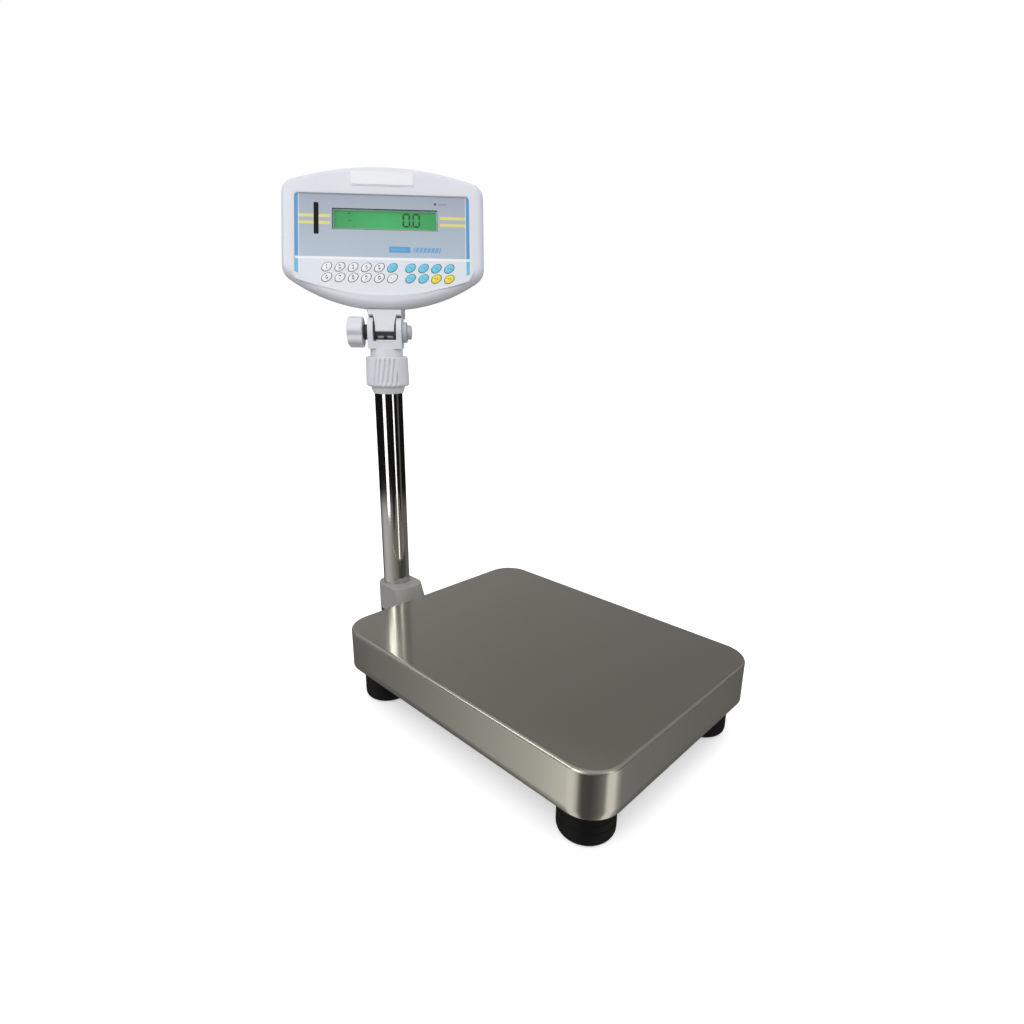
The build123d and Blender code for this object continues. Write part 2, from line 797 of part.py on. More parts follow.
def rocker_switch():
    """Rocker with a shallow V face and stub axles, resting pressed at its top."""
    half = rocker_height / 2
    side_view = make_face(Polyline((-half, -rocker_back), (half, -rocker_back), (half, rocker_proud
                          + rocker_pivot_depth), (0, rocker_pivot_depth + rocker_proud / 3),
                          (-half, rocker_proud + rocker_pivot_depth), close=True))
    paddle = extrude(Plane.YZ * Rot(0, 0, -90) * side_view, rocker_width / 2, both=True)
    reach = rocker_width / 2 + slip_gap + axle_reach - fit_gap
    paddle += rod_x(-reach, reach, 0, 0, axle_radius)
    place = Pos(rocker_x, head_back - rocker_pivot_depth, rear_row_z) * Rot(rocker_throw, 0, 0)
    return head_place * place * paddle


def housing_screws():
    """Six long-reach screws from the back."""
    seat = back_edge + screw_seat
    screws = []
    for x, z in screw_places():
        shank = rod_y(x, z, front_edge - screw_bite, seat, screw_radius)
        screws.append(shank + rod_y(x, z, seat, seat + screw_head_height, screw_head_radius))
    return head_place * Compound(children=screws)


def top_badge():
    """Plain raised plate on the head's upper rim."""
    outline = RectangleRounded(badge_width, badge_height, badge_corner)
    outline = Pos(0, badge_bottom + badge_height / 2) * outline
    plate = slab(outline, head_front - badge_thickness, head_front)
    plate = fillet(plate.faces().sort_by(Axis.Y)[0].edges(), badge_thickness / 2)
    return head_place * plate


def power_inlet():
    """Round socket for the power adaptor's plug."""
    jack = rod_y(jack_x, rear_row_z, head_back - jack_depth, head_back, jack_radius)
    jack += rod_y(jack_x, rear_row_z, head_back, head_back + jack_collar, jack_collar_radius)
    bore_start = head_back - jack_depth + jack_floor
    bore = rod_y(jack_x, rear_row_z, bore_start, head_back + jack_collar + past, jack_bore)
    return head_place * (jack - bore)


def serial_port():
    """Nine-way socket: flange outside, shell through the wall."""
    centre = Pos(port_x, rear_row_z)
    flange_back_face = head_back + port_flange_thickness
    port = slab(centre * RectangleRounded(*port_flange, port_corner), head_back, flange_back_face)
    port_end = head_back + port_proud
    port += slab(centre * RectangleRounded(*port_shell, port_corner), head_back - port_depth, port_end)
    hollow = (port_shell[0] - 2 * port_wall, port_shell[1] - 2 * port_wall)
    hollow_outline = centre * RectangleRounded(*hollow, port_corner - port_wall)
    return head_place * (port - slab(hollow_outline, head_back - port_wall, port_end + past))


def flange_screw_places():
    """The four screws that hold the tilt bracket under the head."""
    rows = (flange_front + flange_screw_y, flange_back - flange_screw_y)
    return [(x, y) for x in (-flange_screw_x, flange_screw_x) for y in rows]


def tilt_bracket():
    """Tongue under the head: a shoulder over the ears narrowing to a saddle round the bush."""
    half = flange_width / 2
    low = flange_top - flange_thickness
    waist = ear_radius + neck_gap
    top_half = ear_inside - slip_gap
    low_half = tongue_low_half
    bend = (low_half + 0.3 * (top_half - low_half), 0.5 * waist)
    right_side = Line((half, low), (half, waist)) + Line((half, waist), (top_half, waist))
    right_side += ThreePointArc((top_half, waist), bend, (low_half, 0))
    right_side += Line((low_half, 0), (low_half, -tongue_half_depth))
    bottom = Line((low_half, -tongue_half_depth), (-low_half, -tongue_half_depth))
    front_view = make_face(Line((-half, low), (half, low)) + right_side + bottom
                           + mirror(right_side, Plane.YZ))
    tongue = slab(front_view, -tongue_half_depth, tongue_half_depth)
    side = block((-half, half), (-tongue_half_depth, tongue_half_depth), (0, low))
    tongue &= side + rod_x(-half, half, 0, 0, tongue_half_depth)
    tongue -= rod_x(-half - past, half + past, 0, 0, bush_radius + running_gap)
    outside = tongue_half_depth + past
    tongue -= block((-half, half), (-outside, 0), (-outside, tongue_front_low))
    tongue -= block((-half, half), (-past, outside), (-outside, -saddle_open))
    tongue += block((-half, half), (flange_front, flange_back), (low, flange_top))
    tongue += block((-half, half), (-tongue_half_depth, flange_front), (low, flange_top - fit_gap))
    for x, y in flange_screw_places():
        tongue -= post(x, y, low - past, flange_top + past, flange_screw_radius + screw_gap)
        tongue -= post(x, y, waist - past, low, flange_screw_head_radius + screw_gap)
    return head_place * tongue


def tilt_bracket_screws():
    """Four screws up through the flange into the rear shell."""
    low = flange_top - flange_thickness
    screws = []
    for x, y in flange_screw_places():
        shank = post(x, y, low, flange_top + flange_screw_bite, flange_screw_radius)
        screws.append(shank + post(x, y, low - flange_screw_head, low, flange_screw_head_radius))
    return head_place * Compound(children=screws)


def all_parts():
    """Every sub-part by node name."""
    parts = {
        "base_frame": base_frame(),
        "foot_lock_nuts": foot_lock_nuts(),
        "load_cell": load_cell(),
        "lower_cell_bolts": cell_bolts(cell_end, frame_bottom, cell_low + cell_bolt_bite, -1),
        "upper_cell_bolts": cell_bolts(-cell_end, upper_plate_low + cell_plate_thickness,
                                       cell_high - cell_bolt_bite, 1),
        "upper_frame": upper_frame(),
        "pan_buffers": pan_buffers(),
        "overload_stops": overload_stops(),
        "weighing_pan": weighing_pan(),
        "level_vial": level_vial(),
        "column_bracket": column_bracket(),
        "bracket_bolts": bracket_bolts(),
        "column_tube": column_tube(),
        "clamp_ring": clamp_ring(),
        "locking_collar": locking_collar(),
        "swivel_yoke": swivel_yoke(),
        "pivot_bush": pivot_bush(),
        "tilt_bolt": tilt_bolt(),
        "friction_washers": friction_washers(),
        "tilt_knob": tilt_knob(),
        "tilt_bracket": tilt_bracket(),
        "tilt_bracket_screws": tilt_bracket_screws(),
        "front_housing": front_housing(),
        "rear_housing": rear_housing(),
        "housing_gasket": housing_gasket(),
        "housing_screws": housing_screws(),
        "keypad_overlay": keypad_overlay(),
        "display_window": display_window(),
        "slot_window": slot_window(),
        "lcd_module": lcd_module(),
        "circuit_board": circuit_board(),
        "battery": battery(),
        "top_badge": top_badge(),
        "power_inlet": power_inlet(),
        "serial_port": serial_port(),
        "rocker_switch": rocker_switch(),
    }
    for side_x, side in ((-1, "left"), (1, "right")):
        for side_y, end in ((-1, "front"), (1, "rear")):
            parts["foot_" + end + "_" + side] = Pos(side_x * foot_x, side_y * foot_y, 0) * foot()
    for name, x, z in key_places():
        parts[name] = key(x, z)
    return parts


os.makedirs("parts", exist_ok=True)
for node, shape in all_parts().items():
    export_step(shape, "parts/" + node + ".step")
    print(node)
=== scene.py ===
import json
import math

import bmesh
import bpy
from mathutils import Matrix, Vector

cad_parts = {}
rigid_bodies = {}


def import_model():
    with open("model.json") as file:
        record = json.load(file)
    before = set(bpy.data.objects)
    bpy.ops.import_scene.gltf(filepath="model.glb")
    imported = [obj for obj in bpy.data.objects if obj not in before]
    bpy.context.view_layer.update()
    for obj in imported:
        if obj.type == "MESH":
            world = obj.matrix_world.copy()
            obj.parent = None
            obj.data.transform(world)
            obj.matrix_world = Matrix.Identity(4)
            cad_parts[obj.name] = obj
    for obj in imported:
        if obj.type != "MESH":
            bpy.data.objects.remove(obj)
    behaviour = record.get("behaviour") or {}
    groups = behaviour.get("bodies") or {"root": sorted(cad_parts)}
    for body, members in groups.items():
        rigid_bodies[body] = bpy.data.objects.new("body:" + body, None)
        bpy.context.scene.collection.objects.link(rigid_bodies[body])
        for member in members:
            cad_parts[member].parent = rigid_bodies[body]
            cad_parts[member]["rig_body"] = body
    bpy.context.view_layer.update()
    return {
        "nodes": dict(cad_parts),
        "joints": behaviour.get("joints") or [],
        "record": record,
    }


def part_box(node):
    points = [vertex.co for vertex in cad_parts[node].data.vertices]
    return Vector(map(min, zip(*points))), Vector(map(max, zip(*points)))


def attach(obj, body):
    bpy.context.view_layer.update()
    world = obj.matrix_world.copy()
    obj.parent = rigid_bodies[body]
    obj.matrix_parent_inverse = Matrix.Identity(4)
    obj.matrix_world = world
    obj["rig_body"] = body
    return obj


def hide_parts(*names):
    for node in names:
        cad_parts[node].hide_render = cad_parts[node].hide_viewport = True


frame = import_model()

mm = 0.001
joints = {joint["name"]: joint for joint in frame["joints"]}
slotOf = {part["node"]: part["material_slot"] for part in frame["record"]["subparts"]}
print("scale: frame loaded,", len(frame["nodes"]), "nodes")


# The view
cameraView = {"place": (-0.5019, -0.4381, 0.4501), "yaw": -45.85, "pitch": 16.54, "roll": 0.69,
              "lens": 21.6, "sensor": 36.0}


def addCamera(view):
    yaw, pitch, roll = (math.radians(view[key]) for key in ("yaw", "pitch", "roll"))
    ahead = Vector((-math.sin(yaw) * math.cos(pitch), math.cos(yaw) * math.cos(pitch), -math.sin(pitch)))
    side = Vector((math.cos(yaw), math.sin(yaw), 0))
    up = side.cross(ahead)
    turnedSide = side * math.cos(roll) + up * math.sin(roll)
    turnedUp = up * math.cos(roll) - side * math.sin(roll)
    data = bpy.data.cameras.new("viewCamera")
    data.lens = view["lens"]
    data.sensor_width = view["sensor"]
    data.clip_start = 0.01
    camera = bpy.data.objects.new("viewCamera", data)
    bpy.context.scene.collection.objects.link(camera)
    placed = Matrix((turnedSide, turnedUp, -ahead)).transposed().to_4x4()
    placed.translation = Vector(view["place"])
    camera.matrix_world = placed
    bpy.context.scene.camera = camera


addCamera(cameraView)
bpy.context.scene.view_settings.view_transform = "Standard"


# Two tilted spaces: the head's own (x along the tilt bolt, y backwards, z up the face) and the yoke's
def spaceFrom(across, back, origin):
    up = across.cross(back)
    space = Matrix((across, back, up)).transposed().to_4x4()
    space.translation = origin
    return space


boltLine = Vector(joints["head_tilt"]["axis"]).normalized()
pivot = Vector(joints["head_tilt"]["pos_m"])
headSpace = spaceFrom(boltLine, Vector(joints["key_zero_press"]["axis"]).normalized(), pivot)
yokeSpace = spaceFrom(boltLine, Vector((0, 0, 1)).cross(boltLine), pivot)
knobSpace = yokeSpace @ Matrix.Rotation(math.radians(-90), 4, "Y")
headTurn = tuple(headSpace.to_euler())


def boxIn(space, spots):
    inverse = space.inverted()
    moved = [inverse @ Vector(spot) for spot in spots]
    low = Vector([min(spot[i] for spot in moved) for i in range(3)])
    high = Vector([max(spot[i] for spot in moved) for i in range(3)])
    return low, high


def nodeBox(node, space=headSpace):
    return boxIn(space, [vertex.co for vertex in frame["nodes"][node].data.vertices])


def islands(node):  # the separate solids of a node, as lists of points
    work = bmesh.new()
    work.from_mesh(frame["nodes"][node].data)
    bmesh.ops.remove_doubles(work, verts=work.verts, dist=0.01 * mm)
    work.verts.ensure_lookup_table()
    seen = set()
    groups = []
    for start in work.verts:
        if start.index in seen:
            continue
        seen.add(start.index)
        stack = [start]
        group = []
        while stack:
            vertex = stack.pop()
            group.append(vertex.co.copy())
            for edge in vertex.link_edges:
                other = edge.other_vert(vertex)
                if other.index not in seen:
                    seen.add(other.index)
                    stack.append(other)
        groups.append(group)
    work.free()
    return groups


# Node graphs: a wire carries a value, and sums on wires add their nodes
class Wire:
    def __init__(self, graph, socket):
        self.graph = graph
        self.socket = socket

    def op(self, operation, *values):
        return self.graph.add("ShaderNodeMath", {"operation": operation}, values)

    def __neg__(self):
        return self.op("MULTIPLY", self, -1.0)

    def __abs__(self):
        return self.op("ABSOLUTE", self)

    def within(self, low, high):
        return (self > low) * (self < high)

    def held(self):
        return self.graph.add("ShaderNodeClamp", {}, (self, 0.0, 1.0))


def operator(operation, swapped=False):
    def apply(self, other):
        return self.op(operation, other, self) if swapped else self.op(operation, self, other)
    return apply


wireSums = {"add": "ADD", "sub": "SUBTRACT", "mul": "MULTIPLY", "truediv": "DIVIDE"}
wireTests = {"pow": "POWER", "mod": "FLOORED_MODULO", "gt": "GREATER_THAN", "lt": "LESS_THAN"}
for label, operation in {**wireSums, **wireTests}.items():
    setattr(Wire, f"__{label}__", operator(operation))
for label, operation in wireSums.items():
    setattr(Wire, f"__r{label}__", operator(operation, True))


class Graph:
    def __init__(self, tree):
        self.nodes = tree.nodes
        self.links = tree.links
        self.nodes.clear()

    def add(self, kind, settings={}, values=(), output=0):
        node = self.nodes.new(kind)
        for key, value in settings.items():
            if key == "stops":
                self.setStops(node.color_ramp, value)
            else:
                setattr(node, key, value)
        pairs = values.items() if isinstance(values, dict) else enumerate(values)
        for key, value in pairs:
            self.feed(node.inputs[key], value)
        return Wire(self, node.outputs[output]) if node.outputs else None

    def feed(self, socket, value):
        if isinstance(value, Wire):
            self.links.new(value.socket, socket)
        elif isinstance(value, (list, tuple)) and isinstance(value[0], Wire):
            for wire in value:
                self.links.new(wire.socket, socket)
        elif socket.type == "RGBA" and len(value) == 3:
            socket.default_value = (*value, 1.0)
        else:
            socket.default_value = value

    def setStops(self, ramp, stops):
        while len(ramp.elements) < len(stops):
            ramp.elements.new(1.0)
        for element, (spot, value) in zip(ramp.elements, stops):
            element.position = spot
            element.color = (value, value, value, 1.0)

    def blend(self, factor, first, second):
        return self.add("ShaderNodeMix", {"data_type": "RGBA"}, {0: factor, 6: first, 7: second}, 2)

    def axes(self, vector):
        return [self.add("ShaderNodeSeparateXYZ", {}, (vector,), i) for i in range(3)]

    def vector(self, x, y, z):
        return self.add("ShaderNodeCombineXYZ", {}, (x, y, z))


class Finish(Graph):
    def __init__(self, name):
        self.material = bpy.data.materials.new(name)
        self.material.use_nodes = True
        super().__init__(self.material.node_tree)

    def spot(self, centre=(0, 0, 0), turn=(0, 0, 0)):
        here = self.add("ShaderNodeTexCoord", {}, (), "Object")
        return self.add("ShaderNodeMapping", {"vector_type": "TEXTURE"},
                        {"Vector": here, "Location": centre, "Rotation": turn})

    def headSpot(self):
        return self.spot(tuple(pivot), headTurn)

    def stretched(self, spot, x, y, z):
        return self.add("ShaderNodeVectorMath", {"operation": "MULTIPLY"}, (spot, (x, y, z)))

    def noise(self, spot, scale, detail=3.0, rough=0.5):
        return self.add("ShaderNodeTexNoise", {},
                        {"Vector": spot, "Scale": scale, "Detail": detail, "Roughness": rough})

    def cells(self, spot, scale):
        return self.add("ShaderNodeTexVoronoi", {}, {"Vector": spot, "Scale": scale})

    def paint(self, colour, rough, height=None, depth=0.05 * mm, strength=0.5, **fixed):
        values = {"Base Color": colour, "Roughness": rough}
        if height is not None:
            values["Normal"] = self.add("ShaderNodeBump", {}, {"Strength": strength, "Distance": depth,
                                                               "Height": height})
        values.update({key.replace("_", " "): value for key, value in fixed.items()})
        shader = self.add("ShaderNodeBsdfPrincipled", {}, values)
        self.add("ShaderNodeOutputMaterial", {}, {"Surface": shader})
        return self.material


def tone(red, green, blue):  # screen colour, 0 to 255, as a shader colour
    def linear(value):
        value /= 255
        return value / 12.92 if value <= 0.04045 else ((value + 0.055) / 1.055) ** 2.4
    return linear(red), linear(green), linear(blue)


def shade(colour, factor):
    return tuple(min(1.0, channel * factor) for channel in colour)


# Finishes
def mouldedPlastic(name, colour, rough=0.42, grain=1800.0, depth=0.03 * mm):
    finish = Finish(name)
    spot = finish.spot()
    fine = finish.noise(spot, grain, 2.0)
    broad = finish.noise(spot, 16.0, 4.0, 0.6)
    scuff = finish.noise(finish.stretched(spot, 40.0, 40.0, 260.0), 1.0, 5.0, 0.65)
    marks = finish.add("ShaderNodeValToRGB", {"stops": [(0.56, 0.0), (0.72, 1.0)]}, (scuff,))
    body = finish.blend(broad, shade(colour, 0.95), shade(colour, 1.03))
    worn = finish.blend(marks * 0.12, body, shade(colour, 0.8))
    return finish.paint(worn, rough + fine * 0.1 - marks * 0.05, fine, depth, 0.35, IOR=1.5)


def softRubber(name, colour, rough=0.75, dusty=0.35):
    finish = Finish(name)
    spot = finish.spot()
    fine = finish.noise(spot, 900.0, 4.0, 0.7)
    dust = finish.noise(spot, 55.0, 5.0, 0.7)
    film = finish.add("ShaderNodeValToRGB", {"stops": [(0.45, 0.0), (0.8, 1.0)]}, (dust,))
    body = finish.blend(film * dusty, colour, tuple(channel * 1.6 + 0.012 for channel in colour))
    return finish.paint(body, rough + film * 0.12, fine, 0.06 * mm, 0.4, Specular_IOR_Level=0.16)


def powderPaint(name, colour, rough=0.5, grain=650.0, depth=0.06 * mm):
    finish = Finish(name)
    spot = finish.spot()
    peel = finish.cells(spot, grain)
    fine = finish.noise(spot, grain * 3, 2.0)
    broad = finish.noise(spot, 22.0, 4.0, 0.6)
    body = finish.blend(broad, shade(colour, 0.9), shade(colour, 1.08))
    return finish.paint(body, rough + fine * 0.12, peel * 0.7 + fine * 0.3, depth, 0.4, IOR=1.5)


def brushedSheet(name, colour, rough, contrast=0.25, depth=0.012 * mm):
    finish = Finish(name)
    spot = finish.spot()
    normal = finish.axes(finish.add("ShaderNodeNewGeometry", {}, (), "Normal"))
    facing, upward = abs(normal[1]), normal[2]
    alongY = finish.noise(finish.stretched(spot, 1500.0, 9.0, 1500.0), 1.0, 3.0, 0.6)
    alongX = finish.noise(finish.stretched(spot, 9.0, 1500.0, 1500.0), 1.0, 3.0, 0.6)
    frontFace = finish.add("ShaderNodeValToRGB", {"stops": [(0.6, 0.0), (0.8, 1.0)]}, (facing,))
    lines = alongY * (1 - frontFace) + alongX * frontFace
    smear = finish.noise(spot, 7.0, 4.0, 0.6)
    body = finish.blend((lines - 0.5) * contrast + 0.5, shade(colour, 0.8), shade(colour, 1.2))
    tintAndPaintedSheen = finish.blend(smear * 0.35, body, shade(colour, 0.86))
    rim = upward.within(0.12, 0.97)  # rolled edge, less polished than the flats
    x, y = finish.axes(spot)[:2]
    lean = (y - x) / 0.35 * (upward > 0.9)  # painted highlight and painted shade: the top is lighter toward its rear left corner and darker toward its front right
    # Painted reflection in the colour: blended to a lighter tone toward the rear left and a darker one toward
    # the front right
    tintAndPaintedSheen = finish.blend(lean.held() * 0.4, tintAndPaintedSheen, shade(colour, 1.6))
    tintAndPaintedSheen = finish.blend((lean * -1).held() * 0.35, tintAndPaintedSheen, shade(colour, 0.5))
    gloss = (lines - 0.5) * 0.12 + smear * 0.07 + (rough - 0.035) + rim * 0.22
    return finish.paint(tintAndPaintedSheen, gloss, lines, depth, 0.35, Metallic=1.0)


def platedMetal(name, colour, rough=0.3):
    finish = Finish(name)
    spot = finish.spot()
    fine = finish.noise(spot, 1200.0, 3.0)
    cloud = finish.noise(spot, 90.0, 4.0, 0.65)
    body = finish.blend(cloud, shade(colour, 0.82), shade(colour, 1.12))
    return finish.paint(body, rough + cloud * 0.14, fine, 0.02 * mm, 0.3, Metallic=1.0)


def polishedTube(name, colour, rough=0.045):
    finish = Finish(name)
    spot = finish.spot()
    grind = finish.noise(finish.stretched(spot, 1.0, 1.0, 60.0), 30.0, 3.0, 0.6)
    wipe = finish.noise(finish.stretched(spot, 1.0, 1.0, 0.12), 160.0, 3.0, 0.5)
    body = finish.blend(grind, shade(colour, 0.93), shade(colour, 1.04))
    return finish.paint(body, rough + wipe * 0.05 + grind * 0.02, grind, 0.004 * mm, 0.25, Metallic=1.0)


def clearPane(name, colour, alpha, rough=0.06):
    finish = Finish(name)
    smudge = finish.noise(finish.spot(), 45.0, 5.0, 0.7)
    return finish.paint(finish.blend(smudge, colour, shade(colour, 0.92)), rough + smudge * 0.05,
                        Alpha=alpha, IOR=1.46)


# Display pane: clear glass with a dark edge band, drawn wider at the top and left as painted shade from the
# window walls
paneShape = {"edgeAndShadeWidth": 1.1 * mm, "edgeAndShadeTone": tone(30, 66, 52), "glassTone": tone(120, 220, 150),
             "edgeAndShadeAlpha": 0.88, "glassAlpha": 0.05}


def displayPane(name, shape):
    finish = Finish(name)
    x, z = finish.axes(finish.headSpot())[::2]
    low, high = nodeBox("display_window")
    edgeAndShadeWidth = shape["edgeAndShadeWidth"]
    smudge = finish.noise(finish.spot(), 45.0, 5.0, 0.7)
    # Dark edge of the pane with painted shade: thin at the right and bottom, twice as wide at the top and
    # left where the window walls shade the display
    inside = x.within(low.x + edgeAndShadeWidth, high.x - edgeAndShadeWidth * 0.5) * z.within(low.z + edgeAndShadeWidth * 0.5, high.z - edgeAndShadeWidth)
    colour = finish.blend(inside, shape["edgeAndShadeTone"], shape["glassTone"])
    alpha = shape["edgeAndShadeAlpha"] - inside * (shape["edgeAndShadeAlpha"] - shape["glassAlpha"])
    return finish.paint(colour, 0.05 + smudge * 0.05, Alpha=alpha, IOR=1.46)


panelPrint = {
    "upperField": tone(174, 190, 205), "lowerField": tone(222, 226, 234), "topField": tone(160, 168, 184),
    "white": tone(240, 243, 248), "ruleBlue": tone(74, 152, 208), "ruleLight": tone(92, 190, 224),
    "bandYellow": tone(222, 216, 118), "ink": tone(46, 48, 56),
    "ruleFade": 1.6 * mm, "divide": 90.0 * mm, "divideThick": 3.2 * mm, "sideRule": 4.4 * mm,
    "bands": ((136.4 * mm, 140.4 * mm), (145.6 * mm, 149.8 * mm)), "bandReach": (68.4 * mm, 75.3 * mm),
    "block": (8.0 * mm, 36.0 * mm, 99.9 * mm, 108.2 * mm), "dashes": (38.5 * mm, 75.0 * mm),
    "dashPitch": 5.2 * mm, "dot": (69.0 * mm, 166.6 * mm, 1.7 * mm), "dotDashes": (73.0 * mm, 85.0 * mm),
    "keyRim": 0.77 * mm, "rimFade": 0.92,
    "notch": (3.0 * mm, 6.0 * mm, 3.2 * mm), "notchFade": 0.55, "ruleSoft": 0.8,
    "dashLean": 0.35, "dashShare": 0.74, "dashInset": 0.8 * mm, "dashFade": 0.8,
    "smallBelow": 1.2 * mm, "smallAbove": 0.5 * mm, "smallPitch": 2.2 * mm, "smallLong": 1.5 * mm,
    "smallFade": 0.6,
}


def printedPanel(name):
    finish = Finish(name)
    spot = finish.headSpot()
    x, z = finish.axes(spot)[::2]
    p = panelPrint
    low, high = nodeBox("keypad_overlay")
    fine = finish.noise(spot, 2600.0, 2.0)
    broad = finish.noise(spot, 14.0, 3.0)
    fade = ((z - p["divide"]) / (high.z - p["divide"])).held()
    sheet = finish.blend(fade, p["upperField"], p["topField"])
    sheet = finish.blend(z < p["divide"], sheet, p["lowerField"])
    bands = z.within(*p["bands"][0]) + z.within(*p["bands"][1])
    leftReach = x < -p["bandReach"][0]
    rightReach = x > p["bandReach"][1]
    sheet = finish.blend(bands * (leftReach + rightReach), sheet, p["bandYellow"])
    rule = abs(x) > high.x - p["sideRule"]
    blue = finish.blend(z < p["divide"], p["ruleBlue"], p["ruleLight"])
    sheet = finish.blend(rule, sheet, blue)
    soft = ((abs(x) - (high.x - p["sideRule"] - p["ruleFade"])) / p["ruleFade"]).held() * (1 - rule)
    sheet = finish.blend(soft * p["ruleSoft"], sheet, p["white"])
    sheet = finish.blend(z.within(p["divide"], p["divide"] + p["divideThick"]), sheet, p["white"])
    x0, x1, z0, z1 = p["block"]
    sheet = finish.blend(x.within(x0, x1) * z.within(z0, z1), sheet, p["ruleBlue"])
    left, right, level = p["notch"]
    notch = x.within(x0 + left, x1 - right) * z.within(z0 + level, z1 - level)
    sheet = finish.blend(notch * p["notchFade"], sheet, p["ruleLight"])
    lean = x - (z - z0) * p["dashLean"]  # slanted strokes beside the block
    stroke = (lean % p["dashPitch"]) < p["dashPitch"] * p["dashShare"]
    row = lean.within(*p["dashes"]) * z.within(z0 + p["dashInset"], z1 - p["dashInset"])
    sheet = finish.blend(row * stroke * p["dashFade"], sheet, p["ruleBlue"])
    dotX, dotZ, dotRadius = p["dot"]
    away = ((x - dotX) ** 2.0 + (z - dotZ) ** 2.0) ** 0.5
    sheet = finish.blend(away < dotRadius, sheet, p["ink"])
    small = x.within(*p["dotDashes"]) * z.within(dotZ - p["smallBelow"], dotZ + p["smallAbove"])
    small *= (x % p["smallPitch"]) < p["smallLong"]
    sheet = finish.blend(small * p["smallFade"], sheet, p["ink"])
    sheet = finish.blend(keyRims(finish, x, z), sheet, p["ink"])
    mottled = finish.blend(broad * 0.08, sheet, p["white"])
    return finish.paint(mottled, 0.34 + fine * 0.08, fine, 0.012 * mm, 0.3, IOR=1.5, Coat_Weight=0.25,
                        Coat_Roughness=0.25)


def keyGrid():  # the two blocks of keys: first centre, pitch, count of columns, and the row heights
    spots = [sum(nodeBox(name), Vector()) / 2 for name in frame["nodes"] if name.startswith("key_")]
    rows = sorted({round(spot.z / mm, 1) for spot in spots})
    across = sorted({round(spot.x / mm, 1) for spot in spots})
    gaps = [second - first for first, second in zip(across, across[1:])]
    split = gaps.index(max(gaps)) + 1
    blocks = [(block[0] * mm, min(gaps) * mm, len(block)) for block in (across[:split], across[split:])]
    return blocks, [row * mm for row in rows]


def keyRims(finish, x, z):
    blocks, rows = keyGrid()
    slant = math.radians(keyShape["slant"])
    half = (keyShape["length"] / 2, keyShape["breadth"] / 2)
    total = None
    for start, pitch, count in blocks:
        u = ((x - (start - pitch / 2)) % pitch) - pitch / 2
        inside = x.within(start - pitch / 2, start + (count - 0.5) * pitch)
        for row in rows:
            v = z - row
            along = (u * math.cos(slant) + v * math.sin(slant)) / half[0]
            beside = (v * math.cos(slant) - u * math.sin(slant)) / half[1]
            reach = (along ** 2.0 + beside ** 2.0) ** 0.5
            rim = (reach < 1 + panelPrint["keyRim"] / half[1]) * inside * panelPrint["rimFade"]
            total = rim if total is None else total + rim
    return total.held()


def displayGlow(name):
    finish = Finish(name)
    spot = finish.headSpot()
    low, high = nodeBox("display_window")
    away = abs((finish.axes(spot)[0] - (low.x + high.x) / 2) / (high.x - low.x) * 2)
    cloud = finish.noise(spot, 24.0, 3.0)
    edge = (away * 0.6 + cloud * 0.4).held()
    body = finish.blend(edge, tone(64, 180, 100), tone(46, 144, 80))
    weave = finish.noise(spot, 2200.0, 2.0)
    return finish.paint(body, 0.4 + weave * 0.08, weave, 0.01 * mm, 0.2, Emission_Color=body,
                        Emission_Strength=0.12, IOR=1.5)


keyShape = {"length": 13.6 * mm, "breadth": 9.3 * mm, "slant": 38.0, "dome": 0.55 * mm, "round": 0.5 * mm,
            "figure": 6.8 * mm, "figureThick": 0.05 * mm, "figureBold": 0.22 * mm, "faceGap": 1.0 * mm,
            "pointBars": ((0, 0, 1.6 * mm, 1.6 * mm), (0, 0, 4.6 * mm, 0.8 * mm)),
            "wordBars": ((-0.4 * mm, 0.8 * mm, 4.6 * mm, 0.7 * mm),
                         (0.3 * mm, -0.7 * mm, 3.4 * mm, 0.7 * mm))}

